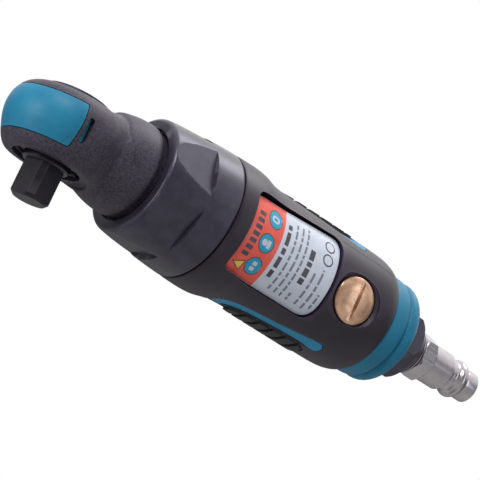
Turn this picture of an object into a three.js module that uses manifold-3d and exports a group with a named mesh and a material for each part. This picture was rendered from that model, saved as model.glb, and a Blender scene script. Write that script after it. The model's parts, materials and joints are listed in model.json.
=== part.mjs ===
// Compact 3/8 inch air ratchet, built as the assembly that comes apart on a bench.
// Millimetres, +Z up. The origin is the centre of the square drive's tip face. +Z runs up the
// drive axis to the reversing knob, +X runs along the tool axis to the air inlet, and the name
// plate and the brass valve plug face -Y.

import * as THREE from 'three';
import { mergeVertices } from 'three/addons/utils/BufferGeometryUtils.js';
import { ConvexGeometry } from 'three/addons/geometries/ConvexGeometry.js';
import Module from 'manifold-3d';

const wasm = await Module();
wasm.setup();

// ---------------------------------------------------------------- driving dimensions

const AXIS_HEIGHT = 22.0;          // tool axis above the drive's tip
const SQUARE = 9.53;               // 3/8 inch square drive, across its flats
const SQUARE_TURN = 17;            // degrees the square stands turned about its axis
const SELECTOR_TURN = -30;         // the knob rests this far from the pawl's middle
const GAP = 0.3;                   // clearance between pieces that rest on each other

const HEAD_BOTTOM = -10.8;         // flat underside of the head, from the tool axis
const HEAD_TOP = 8.4;              // flat top of the head, from the tool axis
const HEAD_BORE = 10.1;            // radius of the bore that holds yoke and anvil
const HEAD_BORE_TOP = 5.8;
const NECK_BORE = 8.8;             // radius of the bore that holds the crank
const BAND_LOW = -7.3;             // head cover's lower and upper edge
const BAND_HIGH = 5.3;
const BAND_INNER = 14.3;
const BAND_END = -3.8;             // the cover's two arms end here along X
const TONGUE_END = -1.5;           // its locking tongues show in the head's two slots

const FLANGE_X = 27.6;             // head's rear flange, trapped behind the sleeve's lip
const FLANGE_END = 31.1;
const SLEEVE_FRONT = 25.6;
const SEAM_X = 49.4;               // where the sleeve meets the housing
const SLEEVE_BORE = 16.0;
const SLEEVE_FLAT = 17.7;          // distance of the six wrench flats from the axis
const FLAT_END = 40.0;

const MOTOR_BORE = 14.2;           // radius of the motor's bore in the housing
const MOTOR_RADIUS = 13.9;         // radius of end plates and cylinder
const HOUSING_NOSE = 41.8;         // threaded nose of the housing, inside the sleeve
const HOUSING_END = 114.2;
const BOSS_RADIUS = 11.6;          // rear boss that carries the exhaust ring
const BOSS_END = 124.8;

const VALVE_X = 98.65;             // cross bore of the throttle valve
const VALVE_Z = -0.85;
const PLUG_HEAD = 6.9;             // radius of the brass plug's head
const LEVER_X = 108.4;             // throttle lever's hinge pin
const LEVER_Y = 20.6;

const GEAR_MODULE = 0.75;
const SUN_TEETH = 12;
const PLANET_TEETH = 9;
const RING_TEETH = SUN_TEETH + 2 * PLANET_TEETH;
const PLANET_COUNT = 3;
const PLANET_ORBIT = GEAR_MODULE * (SUN_TEETH + PLANET_TEETH) / 2;
const GEAR_X = 31.9;               // front face of the planets
const GEAR_LENGTH = 6.6;

const CRANK_THROW = 1.2;           // offset of the crank pin from the tool axis
const VANE_COUNT = 5;
const YOKE_TEETH = 24;

const FULL = Math.PI * 2;
const RIGHT = Math.PI / 2;

// ---------------------------------------------------------------- colours

const BLACK_STEEL = [0x2b2a2e, 0.45, 0.8];
const CAST_STEEL = [0x2e2c30, 0.6, 0.6];
const BLACK_PLASTIC = [0x26242a, 0.5, 0.0];
const BLACK_RUBBER = [0x1b1b1d, 0.85, 0.0];
const TEAL = [0x2486a4, 0.45, 0.0];
const STEEL = [0xb9b7bb, 0.3, 0.95];
const BRASS = [0xaa7850, 0.35, 0.95];
const BRONZE = [0xa07a48, 0.4, 0.9];
const LABEL = [0xcdd4e1, 0.4, 0.0];
const VANE = [0x6b4a2c, 0.7, 0.0];
const FELT = [0xcfc8b8, 0.95, 0.0];

// ---------------------------------------------------------------- solids

// A geometry's shared vertices are merged, empty triangles dropped and faces turned outward.
function closed(source) {
  const plain = source.index ? source.toNonIndexed() : source.clone();
  plain.deleteAttribute('normal');
  plain.deleteAttribute('uv');
  const merged = mergeVertices(plain, 1e-4);
  const place = merged.getAttribute('position');
  const index = [];
  let volume = 0;
  const a = new THREE.Vector3();
  const b = new THREE.Vector3();
  const c = new THREE.Vector3();
  for (let i = 0; i < merged.index.count; i += 3) {
    const [p, q, r] = [0, 1, 2].map((k) => merged.index.getX(i + k));
    if (p === q || q === r || p === r) continue;
    index.push(p, q, r);
    a.fromBufferAttribute(place, p);
    b.fromBufferAttribute(place, q);
    c.fromBufferAttribute(place, r);
    volume += a.dot(b.cross(c));
  }
  if (volume < 0) index.reverse();
  const result = new THREE.BufferGeometry();
  result.setAttribute('position', place);
  result.setIndex(index);
  return result;
}

function solid(geometry) {
  const body = closed(geometry);
  const vertProperties = new Float32Array(body.getAttribute('position').array);
  const triVerts = new Uint32Array(body.index.array);
  return new wasm.Manifold(new wasm.Mesh({ numProp: 3, vertProperties, triVerts }));
}

function shaped(manifold) {
  const mesh = manifold.getMesh();
  const result = new THREE.BufferGeometry();
  result.setAttribute('position', new THREE.BufferAttribute(mesh.vertProperties, 3));
  result.setIndex(new THREE.BufferAttribute(mesh.triVerts, 1));
  result.computeVertexNormals();
  return result;
}

const cut = (base, ...tools) => tools.reduce((left, tool) => left.subtract(tool), base);
const join = (base, ...more) => more.reduce((left, next) => left.add(next), base);

// ---------------------------------------------------------------- shapes

// Profiles are [station, radius] pairs. onX turns them about the X axis, onZ about the Z axis.
function turned(profile, sides) {
  const points = profile.map(([station, radius]) => new THREE.Vector2(radius, station));
  return new THREE.LatheGeometry(points, sides);
}

const onX = (profile, sides = 24) => solid(turned(profile, sides).rotateZ(-RIGHT));
const onZ = (profile, sides = 24) => solid(turned(profile, sides).rotateX(RIGHT));

const diskX = (x0, x1, radius, sides = 24) => (
  onX([[x0, 0], [x0, radius], [x1, radius], [x1, 0]], sides));

const diskZ = (z0, z1, radius, sides = 24) => (
  onZ([[z0, 0], [z0, radius], [z1, radius], [z1, 0]], sides));

const sleeveX = (x0, x1, inner, outer, sides = 24) => (
  onX([[x0, inner], [x0, outer], [x1, outer], [x1, inner], [x0, inner]], sides));

const sleeveZ = (z0, z1, inner, outer, sides = 24) => (
  onZ([[z0, inner], [z0, outer], [z1, outer], [z1, inner], [z0, inner]], sides));

// A cylinder along Y between two stations.
function diskY(y0, y1, radius, x, z, sides = 24) {
  const bar = new THREE.CylinderGeometry(radius, radius, y1 - y0, sides);
  return solid(bar.translate(x, (y0 + y1) / 2, z));
}

function block(x0, x1, y0, y1, z0, z1) {
  const box = new THREE.BoxGeometry(x1 - x0, y1 - y0, z1 - z0);
  return solid(box.translate((x0 + x1) / 2, (y0 + y1) / 2, (z0 + z1) / 2));
}

// An outline in the YZ plane, drawn out along X.
function alongX(shape, x0, x1, curveSegments = 12) {
  const bar = new THREE.ExtrudeGeometry(shape, { depth: x1 - x0, bevelEnabled: false, curveSegments });
  const toX = new THREE.Matrix4().set(0, 0, 1, x0, 1, 0, 0, 0, 0, 1, 0, 0, 0, 0, 0, 1);
  return solid(bar.applyMatrix4(toX));
}

// An outline in the XY plane, drawn out along Z.
function alongZ(shape, z0, z1, curveSegments = 12) {
  const bar = new THREE.ExtrudeGeometry(shape, { depth: z1 - z0, bevelEnabled: false, curveSegments });
  return solid(bar.translate(0, 0, z0));
}

function outline(points) {
  return new THREE.Shape(points.map(([a, b]) => new THREE.Vector2(a, b)));
}

// A regular prism along X, with one corner at the given angle from +Y towards +Z.
function prismX(x0, x1, flat, corners, firstCorner) {
  const radius = flat / Math.cos(Math.PI / corners);
  const points = [];
  for (let i = 0; i < corners; i += 1) {
    const angle = THREE.MathUtils.degToRad(firstCorner) + FULL * i / corners;
    points.push([radius * Math.cos(angle), radius * Math.sin(angle)]);
  }
  return alongX(outline(points), x0, x1);
}

// Straight-sided gear teeth: tip and root half widths are shares of the tooth pitch.
function gearOutline(teeth, rootRadius, tipRadius, rootShare, tipShare, firstTooth = 0) {
  const points = [];
  const pitch = FULL / teeth;
  for (let i = 0; i < teeth; i += 1) {
    const middle = firstTooth + i * pitch;
    for (const [radius, share] of [[rootRadius, -rootShare], [tipRadius, -tipShare],
      [tipRadius, tipShare], [rootRadius, rootShare]]) {
      const angle = middle + share * pitch;
      points.push([radius * Math.cos(angle), radius * Math.sin(angle)]);
    }
  }
  return points;
}

// A helical wire along Y: its coils end flat enough to sit between two seats.
function coilY(x, z, y0, y1, radius, wire, turns, sides = 5, steps = 36) {
  const path = new THREE.CatmullRomCurve3();
  for (let i = 0; i <= steps; i += 1) {
    const angle = FULL * turns * i / steps;
    const y = y0 + wire + (y1 - y0 - 2 * wire) * i / steps;
    path.points.push(new THREE.Vector3(
      x + radius * Math.cos(angle), y, z + radius * Math.sin(angle)));
  }
  const ring = new THREE.Shape();
  ring.absarc(0, 0, wire, 0, FULL, false);
  const options = { steps, extrudePath: path, curveSegments: sides, bevelEnabled: false };
  return solid(new THREE.ExtrudeGeometry(ring, options));
}

// ---------------------------------------------------------------- assembly

const group = new THREE.Group();
const tool = new THREE.Group();     // stands at the tool axis, drive axis at its origin
tool.position.z = AXIS_HEIGHT;
group.add(tool);

function add(name, manifold, [color, roughness, metalness]) {
  const material = new THREE.MeshStandardMaterial({ color, roughness, metalness });
  const mesh = new THREE.Mesh(shaped(manifold), material);
  mesh.name = name;
  tool.add(mesh);
  return mesh;
}

// ---------------------------------------------------------------- ratchet head

const HEAD_PROFILE = [
  [HEAD_BOTTOM, 0], [HEAD_BOTTOM, 12.6], [-9.9, 13.6], [-8.2, 14.7], [-5.6, 15.8],
  [-2.8, 16.7], [0.2, 17.1], [3.2, 16.7], [5.6, 15.7], [7.2, 14.6], [HEAD_TOP, 12.8],
  [HEAD_TOP, 0],
];

const NECK_PROFILE = [
  [3, 0], [3, 9.8], [9, 10.4], [12.4, 11.3], [13.4, 12.6], [15.5, 13.3], [19, 14.0], [22.6, 14.2],
  [24.2, 13.9], [24.9, 13.3], [FLANGE_X, 13.3], [FLANGE_X, 15.6], [FLANGE_END, 15.6],
  [FLANGE_END, 0],
];

function coverSpace(clearance) {
  const shell = sleeveZ(BAND_LOW - clearance, BAND_HIGH + clearance, BAND_INNER - clearance, 20, 32);
  const front = block(-20, BAND_END + clearance, -20, 20, -12, 12);
  return shell.intersect(front);
}

function coverTongues(clearance) {
  const reach = TONGUE_END + clearance;
  const left = block(-8, reach, -15.1 - clearance, -14.4 + clearance, -4.6 - clearance, 1.6 + clearance);
  const right = block(-8, reach, 14.4 - clearance, 15.1 + clearance, -4.6 - clearance, 1.6 + clearance);
  return left.add(right);
}

// The web that leads the barrel's sides into the neck without a crease.
function neckWeb() {
  const points = [];
  for (const [z, r] of [[-9.5, 13.8], [-5.6, 15.7], [0.2, 17.0], [5.6, 15.6], [7.2, 14.5]]) {
    for (let i = 0; i <= 12; i += 1) {
      const angle = (i / 12 - 0.5) * Math.PI * 0.9;
      points.push(new THREE.Vector3(r * Math.cos(angle), r * Math.sin(angle), z));
    }
  }
  for (let i = 0; i < 28; i += 1) {
    const angle = FULL * i / 28;
    points.push(new THREE.Vector3(13.5, 12.2 * Math.cos(angle), 12.2 * Math.sin(angle) - 0.4));
  }
  return solid(new ConvexGeometry(points));
}

function headHousing() {
  const barrel = onZ(HEAD_PROFILE, 32);
  const neck = onX(NECK_PROFILE, 32);
  const topClearance = diskZ(HEAD_TOP, 16, 11.2, 32);
  const bottomClearance = diskZ(-16, HEAD_BOTTOM, 12.6, 32);
  const mainBore = diskZ(-12, HEAD_BORE_TOP, HEAD_BORE, 32);
  const ringGroove = diskZ(-9.9, -8.9, 10.95, 32);
  const knobBore = diskZ(HEAD_BORE_TOP - 1, 10, 6.8, 32);
  const neckBore = diskX(4, FLANGE_END + 1, NECK_BORE, 32);
  const carrierBore = diskX(27.9, FLANGE_END + 1, 11.4, 32);
  const windows = [-1, 1].map((side) => block(
    -2.9, -1.1, side > 0 ? 14 : -20, side > 0 ? 20 : -14, -5.2, 1.8));
  return cut(join(barrel, neck, neckWeb()), topClearance, bottomClearance, mainBore, ringGroove, knobBore,
    neckBore, carrierBore, coverSpace(0.25), coverTongues(0.25), ...windows);
}

function headCover() {
  const outer = onZ(HEAD_PROFILE.map(([z, r]) => [z, r > 0 ? r + 0.1 : 0]), 32);
  return join(outer.intersect(coverSpace(0)), coverTongues(0));
}

function reversingKnob() {
  const disk = onZ([[HEAD_TOP + GAP, 0], [HEAD_TOP + GAP, 9.4], [9.2, 9.4], [9.4, 9.0], [9.4, 0]], 36);
  const hub = diskZ(6.0, 9, 6.5, 28);
  const stem = diskZ(-3.0, 8, 1.9, 16);
  const grip = block(-6.2, 6.2, -1.6, 1.6, 9.2, 10.2);
  const springHole = diskY(-0.9, 3, 0.95, 0, 0, 12);
  return turnAboutZ(cut(join(disk, hub, stem, grip), springHole), SQUARE_TURN + SELECTOR_TURN);
}

const ballProfile = (radius) => {
  const arc = [];
  for (let i = 0; i <= 8; i += 1) {
    const angle = Math.PI * i / 8 - RIGHT;
    arc.push([radius * Math.sin(angle), Math.max(0, radius * Math.cos(angle))]);
  }
  return arc;
};

const ball = (radius, sides = 14) => onX(ballProfile(radius), sides);

const turnAboutZ = (manifold, degrees) => manifold.rotate([0, 0, degrees]);

function squareShaft() {
  const half = SQUARE / 2;
  const corner = half - 1.6;
  const sides = [[half, -corner], [half, corner], [corner, half], [-corner, half],
    [-half, corner], [-half, -corner], [-corner, -half], [corner, -half]];
  const bar = alongZ(outline(sides), -AXIS_HEIGHT, HEAD_BOTTOM);
  const tip = onZ([[-AXIS_HEIGHT, 0], [-AXIS_HEIGHT, 4.55], [-AXIS_HEIGHT + 1.4, 5.9], [0, 5.9], [0, 0]], 32);
  return bar.intersect(tip);
}

function driveAnvil() {
  const journals = onZ([[-11.5, 0], [-11.5, 6.5], [-10.9, 6.9], [-8.0, 6.9], [-8.0, 8.2],
    [-6.2, 8.2], [-6.2, 7.6], [5.4, 7.6], [5.4, 0]], 36);
  const pocket = block(-5.6, 5.6, 2.6, 9, -3.3, 3.3);
  const stemBore = diskZ(-3.4, 6, 2.2, 16);
  const window = block(-2.3, 2.3, 0, 3, -1.2, 1.2);
  const pinBore = sleeveHole(0, 5.0, -5.0, 6, 1.05);
  const ballBore = diskX(1.6, 6, 1.35, 14).translate([0, 0, -16.6]);
  const shaft = cut(join(squareShaft(), journals), pocket, stemBore, window, pinBore);
  return turnAboutZ(cut(shaft, ballBore), SQUARE_TURN);
}

function sleeveHole(x, y, z0, z1, radius) {
  return diskZ(z0, z1, radius, 14).translate([x, y, 0]);
}

// Double-ended pawl: it tips about its pin so that one end or the other meets the yoke.
function pawl() {
  const reach = 7.75;
  const half = THREE.MathUtils.degToRad(38);
  const shape = new THREE.Shape();
  shape.moveTo(reach * Math.sin(half), reach * Math.cos(half));
  shape.lineTo(7.0 * Math.sin(half * 0.72), 7.0 * Math.cos(half * 0.72));
  shape.absarc(0, 0, 7.0, RIGHT - half * 0.72, RIGHT + half * 0.72, false);
  shape.lineTo(-reach * Math.sin(half), reach * Math.cos(half));
  shape.lineTo(-3.6, 3.9);
  shape.lineTo(-1.2, 3.45);
  shape.lineTo(1.2, 3.45);
  shape.lineTo(3.6, 3.9);
  const body = cut(alongZ(shape, -3.0, 3.0, 8), sleeveHole(0, 5.0, -4, 4, 1.0));
  const tipped = body.translate([0, -5, 0]).rotate([0, 0, 3]).translate([0, 5, 0]);
  return turnAboutZ(tipped, SQUARE_TURN);
}

function retainingRing() {
  const shape = new THREE.Shape();
  const open = 0.42;
  shape.absarc(0, 0, 10.7, open, FULL - open, false);
  shape.absarc(0, 0, 9.1, FULL - open, open, true);
  const lugs = [-1, 1].map((side) => diskZ(-9.7, -9.1, 1.3, 12).translate(
    [9.0 * Math.cos(open), side * 9.0 * Math.sin(open), 0]));
  const ring = join(alongZ(shape, -9.7, -9.1, 30), ...lugs);
  return ring.rotate([0, 0, -20]);
}

function ratchetYoke() {
  const ring = new THREE.Shape();
  ring.absarc(0, 0, 9.85, 0, FULL, false);
  const teeth = gearOutline(YOKE_TEETH, 8.9, 8.15, 0.3, 0.1, FULL / YOKE_TEETH / 2);
  ring.holes.push(new THREE.Path(teeth.map(([a, b]) => new THREE.Vector2(a, b))));
  const prongs = [-1, 1].map((side) => block(
    7.45, 14.6, side > 0 ? 4.8 : -6.4, side > 0 ? 6.4 : -4.8, -3.4, 3.4));
  return join(alongZ(ring, -5.6, 5.0, 20), ...prongs);
}

add('head_housing', headHousing(), CAST_STEEL);
add('head_cover', headCover(), TEAL);
add('reversing_knob', reversingKnob(), BLACK_PLASTIC);
add('selector_spring', turnAboutZ(coilY(0, 0, -0.75, 1.5, 0.5, 0.16, 3, 4, 24),
  SQUARE_TURN + SELECTOR_TURN), STEEL);
add('selector_ball', turnAboutZ(ball(0.85, 12).translate([0, 2.5, 0]),
  SQUARE_TURN + SELECTOR_TURN), STEEL);
add('drive_anvil', driveAnvil(), BLACK_STEEL);
add('detent_ball', ball(1.25).translate([4.05, 0, -16.6]).rotate([0, 0, SQUARE_TURN]), STEEL);
add('pawl', pawl(), BLACK_STEEL);
add('pawl_pin', turnAboutZ(sleeveHole(0, 5.0, -4.8, 5.2, 0.85), SQUARE_TURN), STEEL);
add('thrust_washer', sleeveZ(-8.85, -8.25, 7.15, 9.85, 32), STEEL);
add('retaining_ring', retainingRing(), BLACK_STEEL);
add('ratchet_yoke', ratchetYoke(), STEEL);

// ---------------------------------------------------------------- crank and planetary gears

function planetPlace(index) {
  const angle = RIGHT + FULL * index / PLANET_COUNT;
  return [PLANET_ORBIT * Math.cos(angle), PLANET_ORBIT * Math.sin(angle), angle];
}

function crankshaft() {
  const journal = onX([[15.8, 0], [15.8, 5.4], [16.2, 5.8], [27.4, 5.8], [27.4, 7.6], [28.3, 7.6],
    [28.3, 10.9], [GEAR_X - 0.7, 10.9], [GEAR_X - 0.7, 0]], 32);
  const pin = diskX(10.2, 16.4, 1.2, 16).translate([0, 0, CRANK_THROW]);
  const pinHoles = [0, 1, 2].map((i) => {
    const [y, z] = planetPlace(i);
    return diskX(28, 33, 1.3, 14).translate([0, y, z]);
  });
  return cut(join(journal, pin), ...pinHoles);
}

function driveBushing() {
  const profile = [[10.4, 1.4], [10.4, 1.8], [11.3, 2.15], [12.5, 2.25], [13.7, 2.15], [14.6, 1.8],
    [14.6, 1.4], [10.4, 1.4]];
  return onX(profile, 18).translate([0, 0, CRANK_THROW]);
}

function planetGear(index) {
  const [y, z, angle] = planetPlace(index);
  const root = GEAR_MODULE * PLANET_TEETH / 2 - 0.85;
  const tip = GEAR_MODULE * PLANET_TEETH / 2 + 0.5;
  const gear = alongX(outline(gearOutline(PLANET_TEETH, root, tip, 0.24, 0.11, angle)),
    GEAR_X, GEAR_X + GEAR_LENGTH);
  return cut(gear, diskX(30, 42, 1.35, 14)).translate([0, y, z]);
}

function planetPin(index) {
  const [y, z] = planetPlace(index);
  return diskX(28.4, GEAR_X + GEAR_LENGTH + 0.5, 1.15, 14).translate([0, y, z]);
}

function ringGear() {
  const pitch = GEAR_MODULE * RING_TEETH / 2;
  const rim = new THREE.Shape();
  rim.absarc(0, 0, 15.6, 0, FULL, false);
  const teeth = gearOutline(RING_TEETH, pitch + 0.85, pitch - 0.5, 0.24, 0.11, 0);
  rim.holes.push(new THREE.Path(teeth.map(([a, b]) => new THREE.Vector2(a, b))));
  return alongX(rim, FLANGE_END + GAP, 41.2, 20);
}

add('drive_bushing', driveBushing(), BRONZE);
add('crankshaft', crankshaft(), STEEL);
add('crank_bearing', sleeveX(17.5, 27.0, 6.0, 8.55, 32), STEEL);
for (let i = 0; i < PLANET_COUNT; i += 1) {
  add(`planet_gear_${i + 1}`, planetGear(i), STEEL);
  add(`planet_pin_${i + 1}`, planetPin(i), STEEL);
}
add('ring_gear', ringGear(), STEEL);

// ---------------------------------------------------------------- clamp sleeve

function clampSleeve() {
  const skin = onX([[SLEEVE_FRONT, 14.5], [SLEEVE_FRONT, 16.4], [SLEEVE_FRONT + 0.5, 17.5],
    [27.2, 17.9], [33.0, 18.6], [39.0, 19.2], [48.4, 19.85], [SEAM_X, 19.7],
    [SEAM_X, SLEEVE_BORE], [FLANGE_X - GAP, SLEEVE_BORE], [FLANGE_X - GAP, 14.5],
    [SLEEVE_FRONT, 14.5]], 36);
  const shank = prismX(SLEEVE_FRONT - 1, FLAT_END, SLEEVE_FLAT, 6, 2);
  const whole = diskX(FLAT_END, SEAM_X + 1, 22, 36);
  return skin.intersect(join(shank, whole));
}

add('clamp_sleeve', clampSleeve(), BLACK_STEEL);

// ---------------------------------------------------------------- air motor

function frontEndPlate() {
  const plate = sleeveX(HOUSING_NOSE, 47.4, 5.6, MOTOR_RADIUS, 32);
  return cut(plate, diskX(HOUSING_NOSE - 1, 46.2, 9.75, 32));
}

function rearEndPlate() {
  const plate = sleeveX(84.6, 91.6, 3.5, MOTOR_RADIUS, 32);
  return cut(plate, diskX(87.6, 93, 8.25, 32));
}

function ballBearing(x0, x1, inner, outer) {
  const middle = (inner + outer) / 2;
  return onX([[x0, inner], [x0, middle - 0.7], [x0 + 0.5, middle - 0.7], [x0 + 0.5, middle + 0.7],
    [x0, middle + 0.7], [x0, outer], [x1, outer], [x1, middle + 0.7], [x1 - 0.5, middle + 0.7],
    [x1 - 0.5, middle - 0.7], [x1, middle - 0.7], [x1, inner], [x0, inner]], 24);
}

function motorCylinder() {
  const liner = diskX(47.8, 84.2, MOTOR_RADIUS, 32);
  const bore = diskX(47, 85, 11.6, 32).translate([0, 0, 1.2]);
  const ports = [56, 62, 68, 74].map((x) => diskY(8, 16, 1.4, x, -2, 12));
  return cut(liner, bore, ...ports);
}

function rotor() {
  const drum = onX([[GEAR_X, 0], [GEAR_X, 3.0], [41.0, 3.0], [41.0, 5.15], [48.1, 5.15],
    [48.1, 10.2], [84.0, 10.2], [84.0, 3.1], [91.2, 3.1], [91.2, 0]], 32);
  const root = GEAR_MODULE * SUN_TEETH / 2 - 0.85;
  const tip = GEAR_MODULE * SUN_TEETH / 2 + 0.5;
  const teeth = gearOutline(SUN_TEETH, root, tip, 0.24, 0.11, RIGHT);
  const pinion = alongX(outline(teeth), GEAR_X, 41.5);
  const slots = vaneAngles().map((angle) => alongX(
    outline([[4.3, -0.85], [12, -0.85], [12, 0.85], [4.3, 0.85]]), 47, 85).rotate([angle, 0, 0]));
  return cut(join(drum, pinion), ...slots);
}

function vaneAngles() {
  const angles = [];
  for (let i = 0; i < VANE_COUNT; i += 1) {
    angles.push(18 + 360 * i / VANE_COUNT);
  }
  return angles;
}

function vane(angle) {
  return block(48.3, 83.9, 4.6, 10.1, -0.7, 0.7).rotate([angle, 0, 0]);
}

add('front_bearing', ballBearing(HOUSING_NOSE + 0.1, 46.0, 5.35, 9.5), STEEL);
add('front_end_plate', frontEndPlate(), STEEL);
add('motor_cylinder', motorCylinder(), STEEL);
add('rotor', rotor(), STEEL);
vaneAngles().forEach((angle, i) => add(`rotor_vane_${i + 1}`, vane(angle), VANE));
add('rear_end_plate', rearEndPlate(), STEEL);
add('rear_bearing', ballBearing(87.8, 91.4, 3.25, 8.0), STEEL);

// ---------------------------------------------------------------- body housing and grip

const BODY_PROFILE = [
  [HOUSING_NOSE, 15.7], [SEAM_X + 0.2, 15.7], [SEAM_X + 0.2, 19.65], [51, 19.95], [57.5, 20.05],
  [60.5, 19.75], [63.5, 19.0], [66.5, 18.55], [70, 18.4], [104, 18.4], [108.5, 18.25],
  [111, 17.9], [112.9, 17.3], [114.0, 16.6], [HOUSING_END, 16.3],
];

const shellX = (inner, outer, x0 = 55, x1 = 110) => sleeveX(x0, x1, inner, outer, 36);

// A grip pad's teal stripe has two arms that join at the front. Half of it in X and Y: the
// outer edge runs back from the front, the inner edge runs forward from the rear.
const STRIPE_OUTER = [
  [64.4, 0], [64.7, 2.4], [66.2, 4.6], [69.0, 6.0], [74.0, 7.1], [84.0, 8.3], [98.6, 10.2],
];
const STRIPE_INNER = [[98.8, 6.6], [86.0, 5.7], [76.0, 4.5], [72.0, 3.2], [69.8, 1.6], [69.2, 0]];
const STRIPE_TIP = [98.9, 8.4, 1.8];         // centre and radius of an arm's round end
const INSERT_EDGE = [[69.5, 0], [70.1, 1.4], [72.2, 2.9], [76.0, 4.2], [86.0, 5.4], [93.5, 5.9]];
const INSERT_END = 98.8;
const RIB_COUNT = 6;
const FIRST_RIB = 72.9;
const RIB_PITCH = 4.75;

// The stripe's outer surface along the tool. It stands below the skin over the middle of the grip.
const STRIPE_TOP = [[60, 18.3], [63, 18.3], [67, 18.05], [71, 17.9], [92, 17.9], [98, 18.35], [103, 18.45]];
const STRIPE_BASE = 17.3;

function runThrough(shape, points) {
  points.forEach(([x, y]) => shape.lineTo(x, y));
}

const mirrored = (points) => points.map(([x, y]) => [x, -y]).reverse();

function stripeShape(grow) {
  const outer = STRIPE_OUTER.map(([x, y]) => [x - grow, y > 0 ? y + grow : 0]);
  const inner = STRIPE_INNER.map(([x, y]) => [x + grow, y > 0 ? y - grow : 0]);
  const [x, y, radius] = STRIPE_TIP;
  const shape = new THREE.Shape();
  shape.moveTo(...outer[0]);
  runThrough(shape, outer.slice(1));
  shape.absarc(x, y, radius + grow, RIGHT, -RIGHT, true);
  runThrough(shape, inner);
  runThrough(shape, mirrored(inner).slice(1));
  shape.absarc(x, -y, radius + grow, RIGHT, -RIGHT, true);
  runThrough(shape, mirrored(outer).slice(0, -1));
  return shape;
}

function insertShape(grow) {
  const edge = INSERT_EDGE.map(([x, y]) => [x - grow, y > 0 ? y + grow : 0]);
  const [x, y] = edge[edge.length - 1];
  const shape = new THREE.Shape();
  shape.moveTo(...edge[0]);
  runThrough(shape, edge.slice(1));
  shape.quadraticCurveTo(INSERT_END + grow, y, INSERT_END + grow, 0);
  shape.quadraticCurveTo(INSERT_END + grow, -y, x, -y);
  runThrough(shape, mirrored(edge).slice(1, -1));
  return shape;
}

const padSpace = (side, shape) => alongZ(shape, side > 0 ? 8 : -25, side > 0 ? 25 : -8, 6);

function gripFrame(side) {
  const [first, last] = [STRIPE_TOP[0], STRIPE_TOP[STRIPE_TOP.length - 1]];
  const layer = onX([...STRIPE_TOP, [last[0], STRIPE_BASE], [first[0], STRIPE_BASE], first], 36);
  return layer.intersect(padSpace(side, stripeShape(0)));
}

function gripInsert(side) {
  const base = shellX(17.3, 18.1).intersect(padSpace(side, insertShape(0)));
  const bars = shellX(17.6, 18.8).intersect(padSpace(side, insertShape(-0.4)));
  const ribs = [];
  for (let i = 0; i < RIB_COUNT; i += 1) {
    const x = FIRST_RIB + i * RIB_PITCH;
    ribs.push(bars.intersect(block(x - 1.6, x + 1.6, -12, 12, side > 0 ? 8 : -25, side > 0 ? 25 : -8)));
  }
  return join(base, ...ribs);
}

// The name plate's outer surface along the tool. It lies about a millimetre below the skin.
const PLATE_RUN = [[52, 18.6], [58, 18.45], [62, 18.0], [66, 17.5], [70, 17.35], [105, 17.35]];

// A layer along the name plate, between two depths below its outer surface.
function plateLayer(shallow, deep) {
  const outer = PLATE_RUN.map(([x, r]) => [x, r - shallow]);
  const inner = PLATE_RUN.map(([x, r]) => [x, r - deep]).reverse();
  return onX([...outer, ...inner, outer[0]], 36);
}

// Name plate corners in the XZ plane as seen from -Y, each with its radius.
const PLATE_CORNERS = [[55.5, -12.3, 2.2], [88.9, -12.1, 4.4], [88.9, 12.7, 3.6], [55.5, 10.4, 2.2]];

function plateSpace(grow) {
  const corners = PLATE_CORNERS.map(([x, z, r]) => new THREE.Vector3(
    x + (x > 70 ? grow : -grow), z + (z > 0 ? grow : -grow), r + grow));
  const shape = new THREE.Shape();
  corners.forEach((corner, i) => {
    const before = corners[(i + 3) % 4];
    const after = corners[(i + 1) % 4];
    const [start, end] = [before, after].map((other) => {
      const way = new THREE.Vector2(other.x - corner.x, other.y - corner.y).setLength(corner.z);
      return way.add(new THREE.Vector2(corner.x, corner.y));
    });
    if (i === 0) shape.moveTo(start.x, start.y);
    else shape.lineTo(start.x, start.y);
    shape.quadraticCurveTo(corner.x, corner.y, end.x, end.y);
  });
  return alongZ(shape, 8, 24, 6).rotate([90, 0, 0]);
}

function leverLugs() {
  const ear = new THREE.Shape();
  ear.moveTo(LEVER_X - 4.5, 15);
  ear.lineTo(LEVER_X - 2.6, LEVER_Y);
  ear.absarc(LEVER_X, LEVER_Y, 2.6, Math.PI, 0, true);
  ear.lineTo(LEVER_X + 3.2, 15);
  return [alongZ(ear, 4.3, 6.3, 8), alongZ(ear, -6.3, -4.3, 8)];
}

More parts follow.
